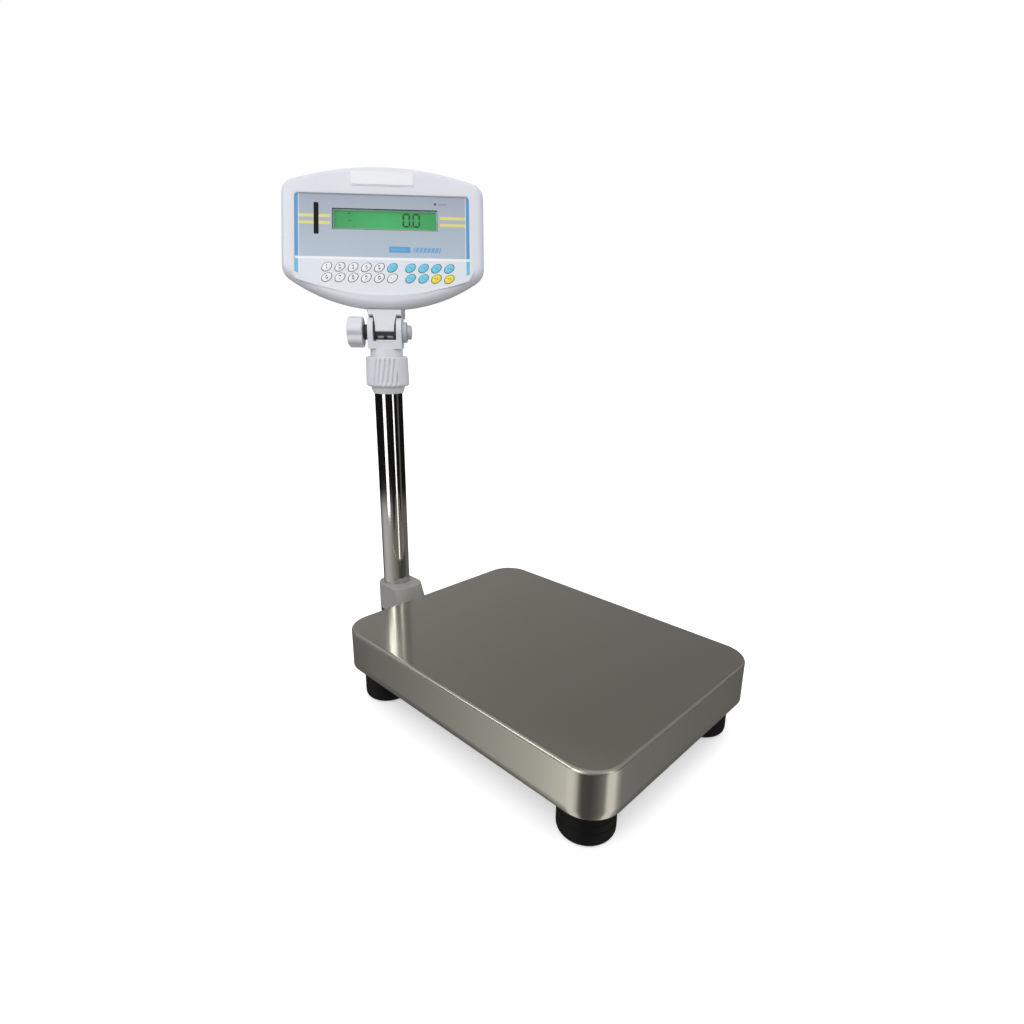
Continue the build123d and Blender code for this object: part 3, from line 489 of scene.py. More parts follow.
finishes = {
    "frame_paint": powderPaint("framePaint", (0.030, 0.032, 0.035), 0.48),
    "plated_steel": platedMetal("zincPlate", (0.55, 0.55, 0.52), 0.32),
    "cell_aluminium": brushedSheet("milledAluminium", (0.66, 0.67, 0.68), 0.34),
    "soft_silicone": softRubber("siliconeBuffer", (0.02, 0.02, 0.022), 0.6),
    "brushed_stainless": brushedSheet("brushedStainless", (0.54, 0.53, 0.47), 0.13),
    "vial_glass": clearPane("vialGlass", (0.62, 0.80, 0.25), 0.55),
    "bracket_paint": powderPaint("bracketPaint", tone(150, 149, 145), 0.42, 420.0, 0.05 * mm),
    "polished_column": polishedTube("polishedColumn", (0.66, 0.65, 0.62)),
    "joint_white": mouldedPlastic("jointWhite", tone(222, 224, 230), 0.4),
    "joint_black": mouldedPlastic("jointBlack", tone(58, 58, 62), 0.5),
    "bolt_grey": powderPaint("boltGrey", tone(186, 190, 196), 0.38),
    "shell_white": mouldedPlastic("shellWhite", tone(222, 224, 232), 0.38),
    "gasket_rubber": softRubber("gasketRubber", tone(120, 120, 124), 0.7),
    "panel_print": printedPanel("panelPrint"),
    "clear_window": displayPane("clearWindow", paneShape),
    "slot_glass": mouldedPlastic("slotGlass", (0.006, 0.006, 0.008), 0.1, 2500.0, 0.004 * mm),
    "display_green": displayGlow("displayGreen"),
    "board_green": mouldedPlastic("boardGreen", (0.01, 0.12, 0.04), 0.35),
    "battery_case": mouldedPlastic("batteryCase", (0.02, 0.02, 0.025), 0.45),
    "socket_black": mouldedPlastic("socketBlack", (0.012, 0.012, 0.014), 0.4),
    "socket_metal": platedMetal("socketMetal", (0.60, 0.60, 0.57), 0.28),
    "foot_rubber": softRubber("footRubber", (0.003, 0.003, 0.003), 0.6, 0.12),
    "key_white": mouldedPlastic("keyWhite", tone(238, 240, 244), 0.34, 2400.0, 0.015 * mm),
    "key_blue": mouldedPlastic("keyBlue", tone(112, 206, 236), 0.34, 2400.0, 0.015 * mm),
    "key_yellow": mouldedPlastic("keyYellow", tone(240, 224, 62), 0.34, 2400.0, 0.015 * mm),
}
prints = {
    "badge": mouldedPlastic("badgeWhite", tone(238, 239, 243), 0.3),
    "dark": mouldedPlastic("inkDark", tone(40, 42, 50), 0.5),
    "blue": mouldedPlastic("inkBlue", tone(36, 128, 176), 0.5),
    "figure": mouldedPlastic("figureGrey", tone(20, 52, 36), 0.4),
}

for nodeName, node in frame["nodes"].items():
    for materialSlot in node.material_slots:
        materialSlot.material = finishes[slotOf[nodeName]]
print("scale: finishes made,", len(finishes) + len(prints))


# Mesh building
def makeObject(name, mesh, materials=()):
    piece = bpy.data.objects.new(name, mesh)
    bpy.context.scene.collection.objects.link(piece)
    for material in materials:
        mesh.materials.append(material)
    return piece


def seat(piece, body, nodes=()):
    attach(piece, body)
    if nodes:
        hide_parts(*nodes)
    return piece


def joinRings(work, first, second):
    for i in range(len(first)):
        j = (i + 1) % len(first)
        work.faces.new((first[i], first[j], second[j], second[i]))


def addRings(work, rings, capFirst=False, capLast=False, closed=False):
    made = [[work.verts.new(spot) for spot in ring] for ring in rings]
    for first, second in zip(made, made[1:]):
        joinRings(work, first, second)
    if closed:
        joinRings(work, made[-1], made[0])
    if capFirst:
        work.faces.new(made[0])
    if capLast:
        work.faces.new(made[-1])


def ringMesh(name, rings, capFirst=False, capLast=False, closed=False, sharp=38.0):
    work = bmesh.new()
    addRings(work, rings, capFirst, capLast, closed)
    return finishMesh(name, work, sharp)


def trayMesh(name, rings, gap, sharp):  # a closed loop of rings, with flat faces on both sides of one gap
    return ringMesh(name, rings[gap:] + rings[:gap], True, True, False, sharp)


def finishMesh(name, work, sharp=38.0):
    bmesh.ops.remove_doubles(work, verts=work.verts, dist=0.001 * mm)
    bmesh.ops.recalc_face_normals(work, faces=work.faces)
    mesh = bpy.data.meshes.new(name)
    work.to_mesh(mesh)
    work.free()
    smooth(mesh, sharp)
    return mesh


def smooth(mesh, sharp):
    mesh.shade_smooth()
    mesh.set_sharp_from_angle(angle=math.radians(sharp))


def lathe(name, space, profile, steps=64, closed=True, sharp=38.0):
    rings = []
    for radius, height in profile:
        ring = []
        for i in range(steps):
            angle = 2 * math.pi * i / steps
            ring.append(space @ Vector((radius * math.cos(angle), radius * math.sin(angle), height)))
        rings.append(ring)
    return ringMesh(name, rings, not closed, not closed, closed, sharp)


def bake(piece):  # the piece with its modifiers applied
    bpy.context.view_layer.update()
    evaluated = piece.evaluated_get(bpy.context.evaluated_depsgraph_get())
    mesh = bpy.data.meshes.new_from_object(evaluated)
    piece.modifiers.clear()
    old = piece.data
    piece.data = mesh
    bpy.data.meshes.remove(old)
    return piece


def softCopy(node, name, width, segments, limit=40.0):  # a node's shape with its edges eased
    work = bmesh.new()
    work.from_mesh(frame["nodes"][node].data)
    bmesh.ops.remove_doubles(work, verts=work.verts, dist=0.002 * mm)
    bmesh.ops.dissolve_limit(work, angle_limit=math.radians(0.6), verts=work.verts, edges=work.edges)
    mesh = bpy.data.meshes.new(name)
    work.to_mesh(mesh)
    work.free()
    piece = makeObject(name, mesh, [finishes[slotOf[node]]])
    bevel = piece.modifiers.new("ease", "BEVEL")
    bevel.width = width
    bevel.segments = segments
    bevel.limit_method = "ANGLE"
    bevel.angle_limit = math.radians(limit)
    bevel.use_clamp_overlap = True
    bake(piece)
    smooth(piece.data, limit)
    even = piece.modifiers.new("even", "WEIGHTED_NORMAL")
    even.keep_sharp = True
    bake(piece)
    return seat(piece, bodyOf(node), [node])


def bodyOf(node):
    return frame["nodes"][node]["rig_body"]


# Weighing pan: pressed sheet with rolled upper edge and a folded lower hem
panShape = {"corner": 35.0 * mm, "edge": 3.0 * mm, "sheet": 1.5 * mm, "cornerSteps": 20, "sideSteps": 10,
            "edgeSteps": 8, "hem": 0.9 * mm, "hemEase": 0.3 * mm, "hemRise": 0.25 * mm, "lowBand": 8.0 * mm,
            "highBand": 1.5 * mm, "flatBand": 1.2 * mm, "flatInset": 14.0 * mm}


def roundedRect(halfX, halfY, radius, cornerSteps, sideSteps):
    spots = []

    def side(spot):  # the straight stretch up to a spot
        return [spots[-1].lerp(spot, i / sideSteps) for i in range(1, sideSteps)]

    for signX, signY, start in ((1, 1, 0), (-1, 1, 90), (-1, -1, 180), (1, -1, 270)):
        for i in range(cornerSteps + 1):
            angle = math.radians(start + 90 * i / cornerSteps)
            spot = Vector((signX * (halfX - radius) + radius * math.cos(angle),
                           signY * (halfY - radius) + radius * math.sin(angle)))
            if spots and i == 0:
                spots += side(spot)
            spots.append(spot)
    return spots + side(spots[0])


def makePan(shape):
    low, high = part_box("weighing_pan")
    halfX, halfY = (high.x - low.x) / 2, (high.y - low.y) / 2
    sheet, edge = shape["sheet"], shape["edge"]

    def ring(inset, z):
        outline = roundedRect(halfX - inset, halfY - inset, shape["corner"] - inset,
                              shape["cornerSteps"], shape["sideSteps"])
        return [(spot.x, spot.y, z) for spot in outline]

    steps = [i / shape["edgeSteps"] * math.pi / 2 for i in range(shape["edgeSteps"] + 1)]
    rings = [ring(0, low.z + shape["hem"])]
    rings += [ring(0, low.z + shape["lowBand"]), ring(0, high.z - edge - shape["highBand"])]
    rings += [ring(edge - edge * math.cos(a), high.z - edge + edge * math.sin(a)) for a in steps]
    rings += [ring(edge + shape["flatBand"], high.z), ring(edge + shape["flatInset"], high.z)]
    outside = len(rings)
    inner = edge - sheet
    under = high.z - sheet
    rings += [ring(edge + shape["flatInset"], under)]
    rings += [ring(sheet + inner - inner * math.cos(a), under - inner + inner * math.sin(a))
              for a in reversed(steps)]
    tip = low.z + shape["hemRise"]
    rings += [ring(sheet, low.z + shape["hem"]), ring(sheet - shape["hemEase"], tip), ring(sheet / 2, low.z)]
    rings += [ring(shape["hemEase"], tip)]
    mesh = trayMesh("weighingPan", rings, outside, 50)
    pan = makeObject("weighingPan", mesh, [finishes["brushed_stainless"]])
    return seat(pan, bodyOf("weighing_pan"), ["weighing_pan"])


makePan(panShape)
print("scale: pan")


# Column: polished tube, open at both ends
columnShape = {"wall": 2.0 * mm, "ease": 0.4 * mm, "steps": 128}


def makeColumn(shape):
    low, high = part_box("column_tube")
    radius = (high.x - low.x) / 2
    wall, ease = shape["wall"], shape["ease"]
    space = Matrix.Translation(((low.x + high.x) / 2, (low.y + high.y) / 2, 0))
    levels = [low.z + ease + (high.z - low.z - 2 * ease) * i / 12 for i in range(13)]
    profile = [(radius - ease, low.z)] + [(radius, z) for z in levels] + [(radius - ease, high.z)]
    profile += [(radius - wall, high.z), (radius - wall, low.z)]
    mesh = lathe("columnTube", space, profile, shape["steps"])
    tube = makeObject("columnTube", mesh, [finishes["polished_column"]])
    return seat(tube, bodyOf("column_tube"), ["column_tube"])


makeColumn(columnShape)


# Feet: soft pad with grip rings on a threaded stud
footShape = {"padTop": 41.7 * mm, "baseRound": 6.0 * mm, "topRound": 3.0 * mm, "stud": 6.0 * mm,
             "thread": 1.25 * mm, "threadDepth": 0.35 * mm, "threadStart": 0.4 * mm, "studTip": 1.0 * mm,
             "groove": 0.5 * mm, "grooveFloor": 0.5 * mm, "grooveHalf": 1.1 * mm,
             "grooves": (16.0 * mm, 25.0 * mm), "soleHollow": 0.6 * mm, "soleRim": 2.0 * mm,
             "soleEdge": 1.0 * mm, "middle": 0.1 * mm}


def makeFoot(node, shape):
    low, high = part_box(node)
    space = Matrix.Translation(((low.x + high.x) / 2, (low.y + high.y) / 2, low.z))
    radius = (high.x - low.x) / 2
    base, top = shape["baseRound"], shape["topRound"]
    hollow, middle = shape["soleHollow"], shape["middle"]
    profile = [(middle, hollow), (radius - base - shape["soleRim"], hollow)]
    profile += [(radius - base - shape["soleEdge"], 0)]
    for i in range(9):
        angle = math.pi / 2 * i / 8
        profile.append((radius - base + base * math.sin(angle), base - base * math.cos(angle)))
    waist, flat, half = radius - shape["groove"], shape["grooveFloor"], shape["grooveHalf"]
    for level in shape["grooves"]:
        profile += [(radius, level - half), (waist, level - flat)]
        profile += [(waist, level + flat), (radius, level + half)]
    for i in range(7):
        angle = math.pi / 2 * i / 6
        profile.append((radius - top + top * math.sin(math.pi / 2 - angle),
                        shape["padTop"] - top + top * math.cos(math.pi / 2 - angle)))
    stud, depth, pitch = shape["stud"], shape["threadDepth"], shape["thread"]
    profile += [(stud, shape["padTop"])]
    level = shape["padTop"] + shape["threadStart"]
    while level < high.z - low.z - pitch:
        profile += [(stud - depth, level), (stud, level + pitch / 2)]
        level += pitch
    profile += [(stud - depth, level), (stud - shape["studTip"], high.z - low.z), (middle, high.z - low.z)]
    mesh = lathe(node + "Pad", space, profile, 72, False, 30)
    mesh.materials.append(finishes["foot_rubber"])
    mesh.materials.append(finishes["plated_steel"])
    for polygon in mesh.polygons:
        if polygon.center.z - low.z > shape["padTop"]:
            polygon.material_index = 1
    foot = makeObject(node + "Pad", mesh)
    return seat(foot, bodyOf(node), [node])


for nodeName in sorted(frame["nodes"]):
    if nodeName.startswith("foot_") and nodeName != "foot_lock_nuts":
        makeFoot(nodeName, footShape)
print("scale: column and feet")


# Head outlines: straight sides, an arc below, and an arc or a line above
shellShape = {"lowSide": 74.0 * mm, "highSide": 195.0 * mm, "lowCorner": 22.0 * mm, "highCorner": 20.0 * mm,
              "rollDepth": 14.5 * mm, "rollWidth": 10.5 * mm, "rollSteps": 9, "crown": 0.9 * mm,
              "wall": 3.0 * mm, "crownSteps": ((0.25, 0.62), (0.55, 0.2), (0.8, 0.0), (1.0, 0.12)),
              "backStep": 4.0 * mm, "lip": 1.0 * mm, "floorThick": 3.2 * mm, "recess": 3.0 * mm,
              "inset": {"display_window": 1.5 * mm, "slot_window": 0.8 * mm}, "keyGap": 0.3 * mm,
              "cutAhead": 5.0 * mm}
panelShape = {"lowSide": 64.0 * mm, "corner": 5.0 * mm}


def archedOutline(half, lowSide, lowMiddle, highSide, highMiddle, lowCorner, highCorner):
    def arcOf(side, middle):  # centre height and radius of the arc through the side points and the middle
        rise = abs(middle - side)
        radius = (half ** 2 + rise ** 2) / (2 * rise)
        return (middle + radius if middle < side else middle - radius), radius

    lowCentre, lowRadius = arcOf(lowSide, lowMiddle)
    reachX = half - lowCorner
    lowZ = lowCentre - math.sqrt((lowRadius - lowCorner) ** 2 - reachX ** 2)
    touch = math.atan2(reachX, lowCentre - lowZ)
    right = []
    for i in range(25):
        angle = touch * i / 24
        right.append((lowRadius * math.sin(angle), lowCentre - lowRadius * math.cos(angle)))
    for i in range(1, 13):
        angle = touch + (math.pi / 2 - touch) * i / 12
        right.append((reachX + lowCorner * math.sin(angle), lowZ - lowCorner * math.cos(angle)))
    topX = half - highCorner
    if highMiddle > highSide + 1e-6:
        highCentre, highRadius = arcOf(highSide, highMiddle)
        highZ = highCentre + math.sqrt((highRadius - highCorner) ** 2 - topX ** 2)
        lean = math.atan2(topX, highZ - highCentre)
    else:
        highZ, lean = highSide - highCorner, 0.0
    start = right[-1][1]
    for i in range(1, 9):
        right.append((half, start + (highZ - start) * i / 8))
    for i in range(1, 13):
        angle = math.pi / 2 - (math.pi / 2 - lean) * i / 12
        right.append((topX + highCorner * math.sin(angle), highZ + highCorner * math.cos(angle)))
    edgeX = right[-1][0]
    for i in range(1, 25):
        if lean:
            angle = lean * (1 - i / 24)
            right.append((highRadius * math.sin(angle), highCentre + highRadius * math.cos(angle)))
        else:
            right.append((edgeX * (1 - i / 24), highSide))
    left = [(-x, z) for x, z in reversed(right[1:-1])]
    return [Vector(spot) for spot in right + left]


def movedIn(outline, distance):
    moved = []
    for i, spot in enumerate(outline):
        along = outline[(i + 1) % len(outline)] - outline[i - 1]
        moved.append(spot + Vector((-along.y, along.x)).normalized() * distance)
    return moved


def headRing(outline, y):
    return [headSpace @ Vector((spot.x, y, spot.y)) for spot in outline]


def headOutlines():
    low, high = nodeBox("front_housing")
    s = shellShape
    outer = archedOutline(high.x, s["lowSide"], low.z, s["highSide"], high.z, s["lowCorner"], s["highCorner"])
    pLow, pHigh = nodeBox("keypad_overlay")
    inner = archedOutline(pHigh.x, panelShape["lowSide"], pLow.z, pHigh.z, pHigh.z,
                          panelShape["corner"], panelShape["corner"])
    return outer, inner


def makeFrontShell(s):
    low, high = nodeBox("front_housing")
    outer, inner = headOutlines()
    front, parting = low.y, high.y
    rings = [headRing(outer, parting), headRing(outer, front + s["rollDepth"])]
    for i in range(1, s["rollSteps"] + 1):
        angle = math.pi / 2 * i / s["rollSteps"]
        rings.append(headRing(movedIn(outer, s["rollWidth"] * (1 - math.cos(angle))),
                              front + s["crown"] + (s["rollDepth"] - s["crown"]) * (1 - math.sin(angle))))
    crest = movedIn(outer, s["rollWidth"])
    lip = movedIn(inner, -s["lip"])
    for share, drop in s["crownSteps"]:
        between = [a.lerp(b, share) for a, b in zip(crest, lip)]
        rings.append(headRing(between, front + s["crown"] * drop))
    for angle in (30, 60, 90):
        a = math.radians(angle)
        rings.append(headRing(movedIn(inner, -s["lip"] * (1 - math.sin(a))),
                              front + s["crown"] * s["crownSteps"][-1][1] + s["lip"] * (1 - math.cos(a))))
    floor = front + s["recess"]
    rings.append(headRing(inner, floor))
    face = len(rings)
    rings.append(headRing(inner, floor + s["floorThick"]))
    rings.append(headRing(movedIn(outer, s["wall"]), floor + s["floorThick"] + s["backStep"]))
    rings.append(headRing(movedIn(outer, s["wall"]), parting))
    mesh = trayMesh("frontShell", rings, face, 40)
    shell = makeObject("frontShell", mesh, [finishes["shell_white"]])
    cutOpenings(shell, s)
    return seat(shell, "head", ["front_housing"])


def cutOpenings(shell, s):  # holes for the keys, the display and the slot
    work = bmesh.new()
    low, high = nodeBox("front_housing")
    ends = (low.y - s["cutAhead"], high.y)
    for node, inset in s["inset"].items():
        a, b = nodeBox(node)
        x0, x1, z0, z1 = a.x + inset, b.x - inset, a.z + inset, b.z - inset
        outline = [Vector(spot) for spot in ((x0, z0), (x1, z0), (x1, z1), (x0, z1))]
        addRings(work, [headRing(outline, y) for y in ends], True, True)
    for node in frame["nodes"]:
        if node.startswith("key_"):
            middle = sum(nodeBox(node), Vector()) / 2
            addRings(work, [ovalRing(middle, s["keyGap"], y) for y in ends], True, True)
    cutter = makeObject("openingCutter", finishMesh("openingCutter", work))
    cut = shell.modifiers.new("openings", "BOOLEAN")
    cut.object = cutter
    cut.operation = "DIFFERENCE"
    cut.solver = "EXACT"
    bake(shell)
    bpy.data.objects.remove(cutter)
    smooth(shell.data, 40)


def ovalRing(middle, grow, y, steps=36):
    slant = math.radians(keyShape["slant"])
    ring = []
    for i in range(steps):
        angle = 2 * math.pi * i / steps
        u = (keyShape["length"] / 2 + grow) * math.cos(angle)
        v = (keyShape["breadth"] / 2 + grow) * math.sin(angle)
        ring.append(headSpace @ Vector((middle.x + u * math.cos(slant) - v * math.sin(slant), y,
                                        middle.z + u * math.sin(slant) + v * math.cos(slant))))
    return ring


makeFrontShell(shellShape)
print("scale: front shell")


# Geometry recipes: trees built here, baked to plain meshes
class Recipe(Graph):
    def __init__(self, name, sizes):
        self.tree = bpy.data.node_groups.new(name, "GeometryNodeTree")
        super().__init__(self.tree)
        face = self.tree.interface
        face.new_socket("Geometry", in_out="INPUT", socket_type="NodeSocketGeometry")
        for label, value in sizes.items():
            kind = "NodeSocketInt" if isinstance(value, int) else "NodeSocketFloat"
            face.new_socket(label, in_out="INPUT", socket_type=kind).default_value = value
        face.new_socket("Geometry", in_out="OUTPUT", socket_type="NodeSocketGeometry")
        entry = self.nodes.new("NodeGroupInput")
        self.entry = {socket.name: Wire(self, socket) for socket in entry.outputs if socket.name}

    def shifted(self, geometry, height):
        return self.add("GeometryNodeTransform", {}, {"Geometry": geometry,
                                                      "Translation": self.vector(0.0, 0.0, height)})

    def close(self, geometry, material):
        whole = self.add("GeometryNodeRealizeInstances", {}, (geometry,))
        painted = self.add("GeometryNodeSetMaterial", {}, {"Geometry": whole, "Material": material})
        self.add("NodeGroupOutput", {}, (painted,))
        return self


def grow(recipe, name, mesh, values):
    piece = makeObject(name, mesh)
    modifier = piece.modifiers.new("growth", "NODES")
    modifier.node_group = recipe.tree
    for item in recipe.tree.interface.items_tree:
        if item.item_type == "SOCKET" and item.in_out == "INPUT" and item.name in values:
            modifier[item.identifier] = values[item.name]
    return bake(piece)


def gripRecipe(name, material):  # a round hand grip with grooves that follow a rule
    sizes = {"Radius": 0.02, "Height": 0.02, "Swell": 0.0, "Round Low": 0.002, "Round High": 0.002,
             "Grooves": 7, "Depth": 0.002, "Sharpness": 2.0, "Slant": 0.0, "Window": 0.0, "Clear Ends": 0.0,
             "Bore": 0.004, "Bore Depth": 0.01, "Around": 140, "Along": 30}
    recipe = Recipe(name, sizes)
    e = recipe.entry
    body = recipe.add("GeometryNodeMeshCylinder", {"fill_type": "NGON"},
                      {"Vertices": e["Around"], "Side Segments": e["Along"], "Fill Segments": 1,
                       "Radius": e["Radius"], "Depth": e["Height"]})
    x, y, z = recipe.axes(recipe.add("GeometryNodeInputPosition"))
    half = e["Height"] / 2
    angle = x.op("ARCTAN2", y, x)
    wave = (angle.op("COSINE", (angle + z * e["Slant"]) * e["Grooves"]) + 1) / 2
    window = abs(y / e["Radius"]) > e["Window"]
    inset = half - abs(z)
    fade = (inset / (e["Clear Ends"] + 0.0001)).held()
    groove = wave ** e["Sharpness"] * window * fade * (e["Depth"] / e["Radius"])
    swell = (0.5 - z / e["Height"]) * (e["Swell"] / e["Radius"])
    lowEnd = (1 - (z + half) / e["Round Low"]).held()
    highEnd = (1 - (half - z) / e["Round High"]).held()
    lowCut = (1 - (1 - lowEnd * lowEnd) ** 0.5) * (e["Round Low"] / e["Radius"])
    highCut = (1 - (1 - highEnd * highEnd) ** 0.5) * (e["Round High"] / e["Radius"])
    scale = 1 + swell - groove - lowCut - highCut
    place = recipe.vector(x * scale, y * scale, z)
    moved = recipe.add("GeometryNodeSetPosition", {}, {"Geometry": body, "Position": place})
    bore = recipe.add("GeometryNodeMeshCylinder", {"fill_type": "NGON"},
                      {"Vertices": 64, "Radius": e["Bore"], "Depth": e["Bore Depth"] * 2})
    drop = recipe.shifted(bore, -half)
    hollow = recipe.add("GeometryNodeMeshBoolean", {"operation": "DIFFERENCE", "solver": "EXACT"},
                        {"Mesh 1": moved, "Mesh 2": drop})
    return recipe.close(hollow, material)


def settle(piece, space, sharp):
    piece.data.transform(space)
    work = bmesh.new()
    work.from_mesh(piece.data)
    bmesh.ops.remove_doubles(work, verts=work.verts, dist=0.001 * mm)
    work.to_mesh(piece.data)
    work.free()
    smooth(piece.data, sharp)
    return piece


knobShape = {"Grooves": 7, "Depth": 2.8 * mm, "Sharpness": 1.3, "Round Low": 1.2 * mm, "Round High": 3.2 * mm,
             "Bore": 4.1 * mm, "Clear Ends": 0.2 * mm, "Around": 168, "Along": 26, "solidEnd": 6.0 * mm}
collarShape = {"Grooves": 27, "Depth": 2.5 * mm, "Sharpness": 3.2, "Window": 0.82, "Round Low": 4.2 * mm,
               "Round High": 1.6 * mm, "Clear Ends": 5.0 * mm, "Swell": 1.3 * mm, "Around": 324, "Along": 40,
               "slantPerMm": -0.0056, "boreGap": 4.8 * mm, "boreOver": 2.0 * mm}


def makeGrips():
    recipe = gripRecipe("handGrip", finishes["joint_white"])
    low, high = nodeBox("tilt_knob", yokeSpace)
    values = dict(knobShape)
    values.update({"Radius": (high.z - low.z) / 2, "Height": high.x - low.x,
                   "Bore Depth": high.x - low.x - knobShape["solidEnd"]})
    knob = grow(recipe, "tiltKnob", bpy.data.meshes.new("tiltKnob"), values)
    space = knobSpace.copy()
    space.translation = yokeSpace @ Vector(((low.x + high.x) / 2, 0, 0))
    seat(settle(knob, space, 35), bodyOf("tilt_knob"), ["tilt_knob"])
    low, high = nodeBox("locking_collar", yokeSpace)
    values = dict(collarShape)
    radius = (high.x - low.x) / 2 - values["Swell"]
    values.update({"Radius": radius, "Height": high.z - low.z, "Slant": values["slantPerMm"] / mm,
                   "Bore": radius - values["boreGap"], "Bore Depth": high.z - low.z + values["boreOver"]})
    collar = grow(recipe, "lockingCollar", bpy.data.meshes.new("lockingCollar"), values)
    space = yokeSpace @ Matrix.Translation((0, 0, (low.z + high.z) / 2))
    seat(settle(collar, space, 35), bodyOf("locking_collar"), ["locking_collar"])


makeGrips()
print("scale: knob and collar")


# Keys: one domed cap for each body, with its printed figure
def keyRecipe(name, material):
    recipe = Recipe(name, {"Length": 0.0136, "Breadth": 0.0093, "Height": 0.005, "Dome": 0.0005,
                           "Round": 0.0005, "Around": 44})
    e = recipe.entry
    body = recipe.add("GeometryNodeMeshCylinder", {"fill_type": "TRIANGLE_FAN"},
                      {"Vertices": e["Around"], "Side Segments": 8, "Fill Segments": 6, "Radius": 1.0,
                       "Depth": e["Height"]})
    x, y, z = recipe.axes(recipe.add("GeometryNodeInputPosition"))
    out = (x * x + y * y) ** 0.5
    rise = z / e["Height"] + 0.5  # 0 at the foot, 1 at the face
    ease = ((rise - 0.86) / 0.14).held()
    pull = 1 - (1 - (1 - ease * ease) ** 0.5) * (e["Round"] * 2 / e["Breadth"])
    lift = (rise > 0.99) * (1 - out * out) * e["Dome"] - (rise > 0.99) * e["Dome"]
    place = recipe.vector(x * pull * (e["Length"] / 2), y * pull * (e["Breadth"] / 2), z + lift)
    moved = recipe.add("GeometryNodeSetPosition", {}, {"Geometry": body, "Position": place})
    return recipe.close(moved, material)


def figureMesh(text, size):
    curve = bpy.data.curves.new("figure", "FONT")
    curve.body = text
    curve.size = size
    curve.align_x = "CENTER"
    curve.align_y = "CENTER"
    curve.extrude = keyShape["figureThick"]
    curve.offset = keyShape["figureBold"]
    curve.resolution_u = 3
    holder = bpy.data.objects.new("figure", curve)
    bpy.context.scene.collection.objects.link(holder)
    bpy.context.view_layer.update()
    mesh = bpy.data.meshes.new_from_object(holder.evaluated_get(bpy.context.evaluated_depsgraph_get()))
    bpy.data.objects.remove(holder)
    return mesh


def barMesh(bars, thick):  # flat bars, each (centre x, centre y, width, height)
    work = bmesh.new()
    for x, y, width, height in bars:
        made = bmesh.ops.create_cube(work, size=1.0)["verts"]
        for vertex in made:
            vertex.co = Vector((x + vertex.co.x * width, y + vertex.co.y * height, vertex.co.z * 2 * thick))
    mesh = bpy.data.meshes.new("bars")
    work.to_mesh(mesh)
    work.free()
    return mesh


def joinMesh(piece, extra, material):
    work = bmesh.new()
    work.from_mesh(piece.data)
    start = len(work.faces)
    work.from_mesh(extra)
    work.faces.ensure_lookup_table()
    index = len(piece.data.materials)
    for face in work.faces[start:]:
        face.material_index = index
    work.to_mesh(piece.data)
    work.free()
    piece.data.materials.append(material)
    bpy.data.meshes.remove(extra)


def makeKeys(shape):
    recipes = {slotName: keyRecipe(slotName + "Cap", finishes[slotName])
               for slotName in ("key_white", "key_blue", "key_yellow")}
    for node in sorted(frame["nodes"]):
        if not node.startswith("key_"):
            continue
        slotName = slotOf[node]
        low, high = nodeBox(node)
        middle = (low + high) / 2
        height = high.y - low.y - shape["faceGap"]
        values = {label: shape[label.lower()] for label in ("Length", "Breadth", "Dome", "Round")}
        values["Height"] = height
        label = node.removeprefix("key_")
        cap = grow(recipes[slotName], f"key{label.title()}Cap", bpy.data.meshes.new(node + "Cap"), values)
        turn = headSpace.to_3x3()
        centre = headSpace @ Vector((middle.x, low.y + height / 2, middle.z))
        space = spaceFrom(turn.col[0], turn.col[2], centre)  # x across, y up the face, z out of it
        slanted = space @ Matrix.Rotation(math.radians(shape["slant"]), 4, "Z")
        settle(cap, slanted, 40)
        ink = prints["dark"]
        if label.isdigit():
            mark = figureMesh(label, shape["figure"])
        elif node == "key_point":
            mark = barMesh(shape["pointBars"], shape["figureThick"])
        else:
            mark = barMesh(shape["wordBars"], shape["figureThick"])
            ink = prints["dark" if slotName == "key_yellow" else "blue"]
        mark.transform(space @ Matrix.Translation((0, 0, height / 2 - 0.08 * mm)))
        joinMesh(cap, mark, ink)
        seat(cap, bodyOf(node), [node])


makeKeys(keyShape)
print("scale: keys")


# Plain badge on the upper rim: a framed plate, sunk into the crowned shell behind it
badgeShape = {"corner": 2.0 * mm, "sink": 2.5 * mm,
              "steps": ((0, 0.55), (0.15, 0.7), (0.75, 0.7), (0.9, 0.35), (1.2, 0.35), (1.3, 1.15),
                        (1.5, 1.34), (2.0, 1.4))}


def makeBadge(shape):
    low, high = nodeBox("top_badge")
    middle = (low + high) / 2
    half = (high - low) / 2

    def ring(inset, y):
        outline = roundedRect(half.x - inset, half.z - inset, max(shape["corner"] - inset, 0.3 * mm), 6, 8)
        return [headSpace @ Vector((middle.x + spot.x, y, middle.z + spot.y)) for spot in outline]

    rings = [ring(0, high.y + shape["sink"])]
    rings += [ring(inset * mm, high.y - rise * mm) for inset, rise in shape["steps"]]
    badge = makeObject("topBadge", ringMesh("topBadge", rings, True, True, False, 30), [prints["badge"]])
    return seat(badge, "head", ["top_badge"])


makeBadge(badgeShape)


# Light sleeve that shows through the bush's windows
sleeveShape = {"bore": 0.43, "outside": 0.86, "shorter": 0.4 * mm}  # the first two as shares of the bush


def makeSleeve(shape):
    low, high = nodeBox("pivot_bush", yokeSpace)
    length = high.x - shape["shorter"]
    inner, outer = high.z * shape["bore"], high.z * shape["outside"]
    profile = [(inner, -length), (outer, -length), (outer, length), (inner, length)]
    sleeve = makeObject("bushSleeve", lathe("bushSleeve", knobSpace, profile, 48), [finishes["joint_white"]])
    return seat(sleeve, "yoke")


makeSleeve(sleeveShape)


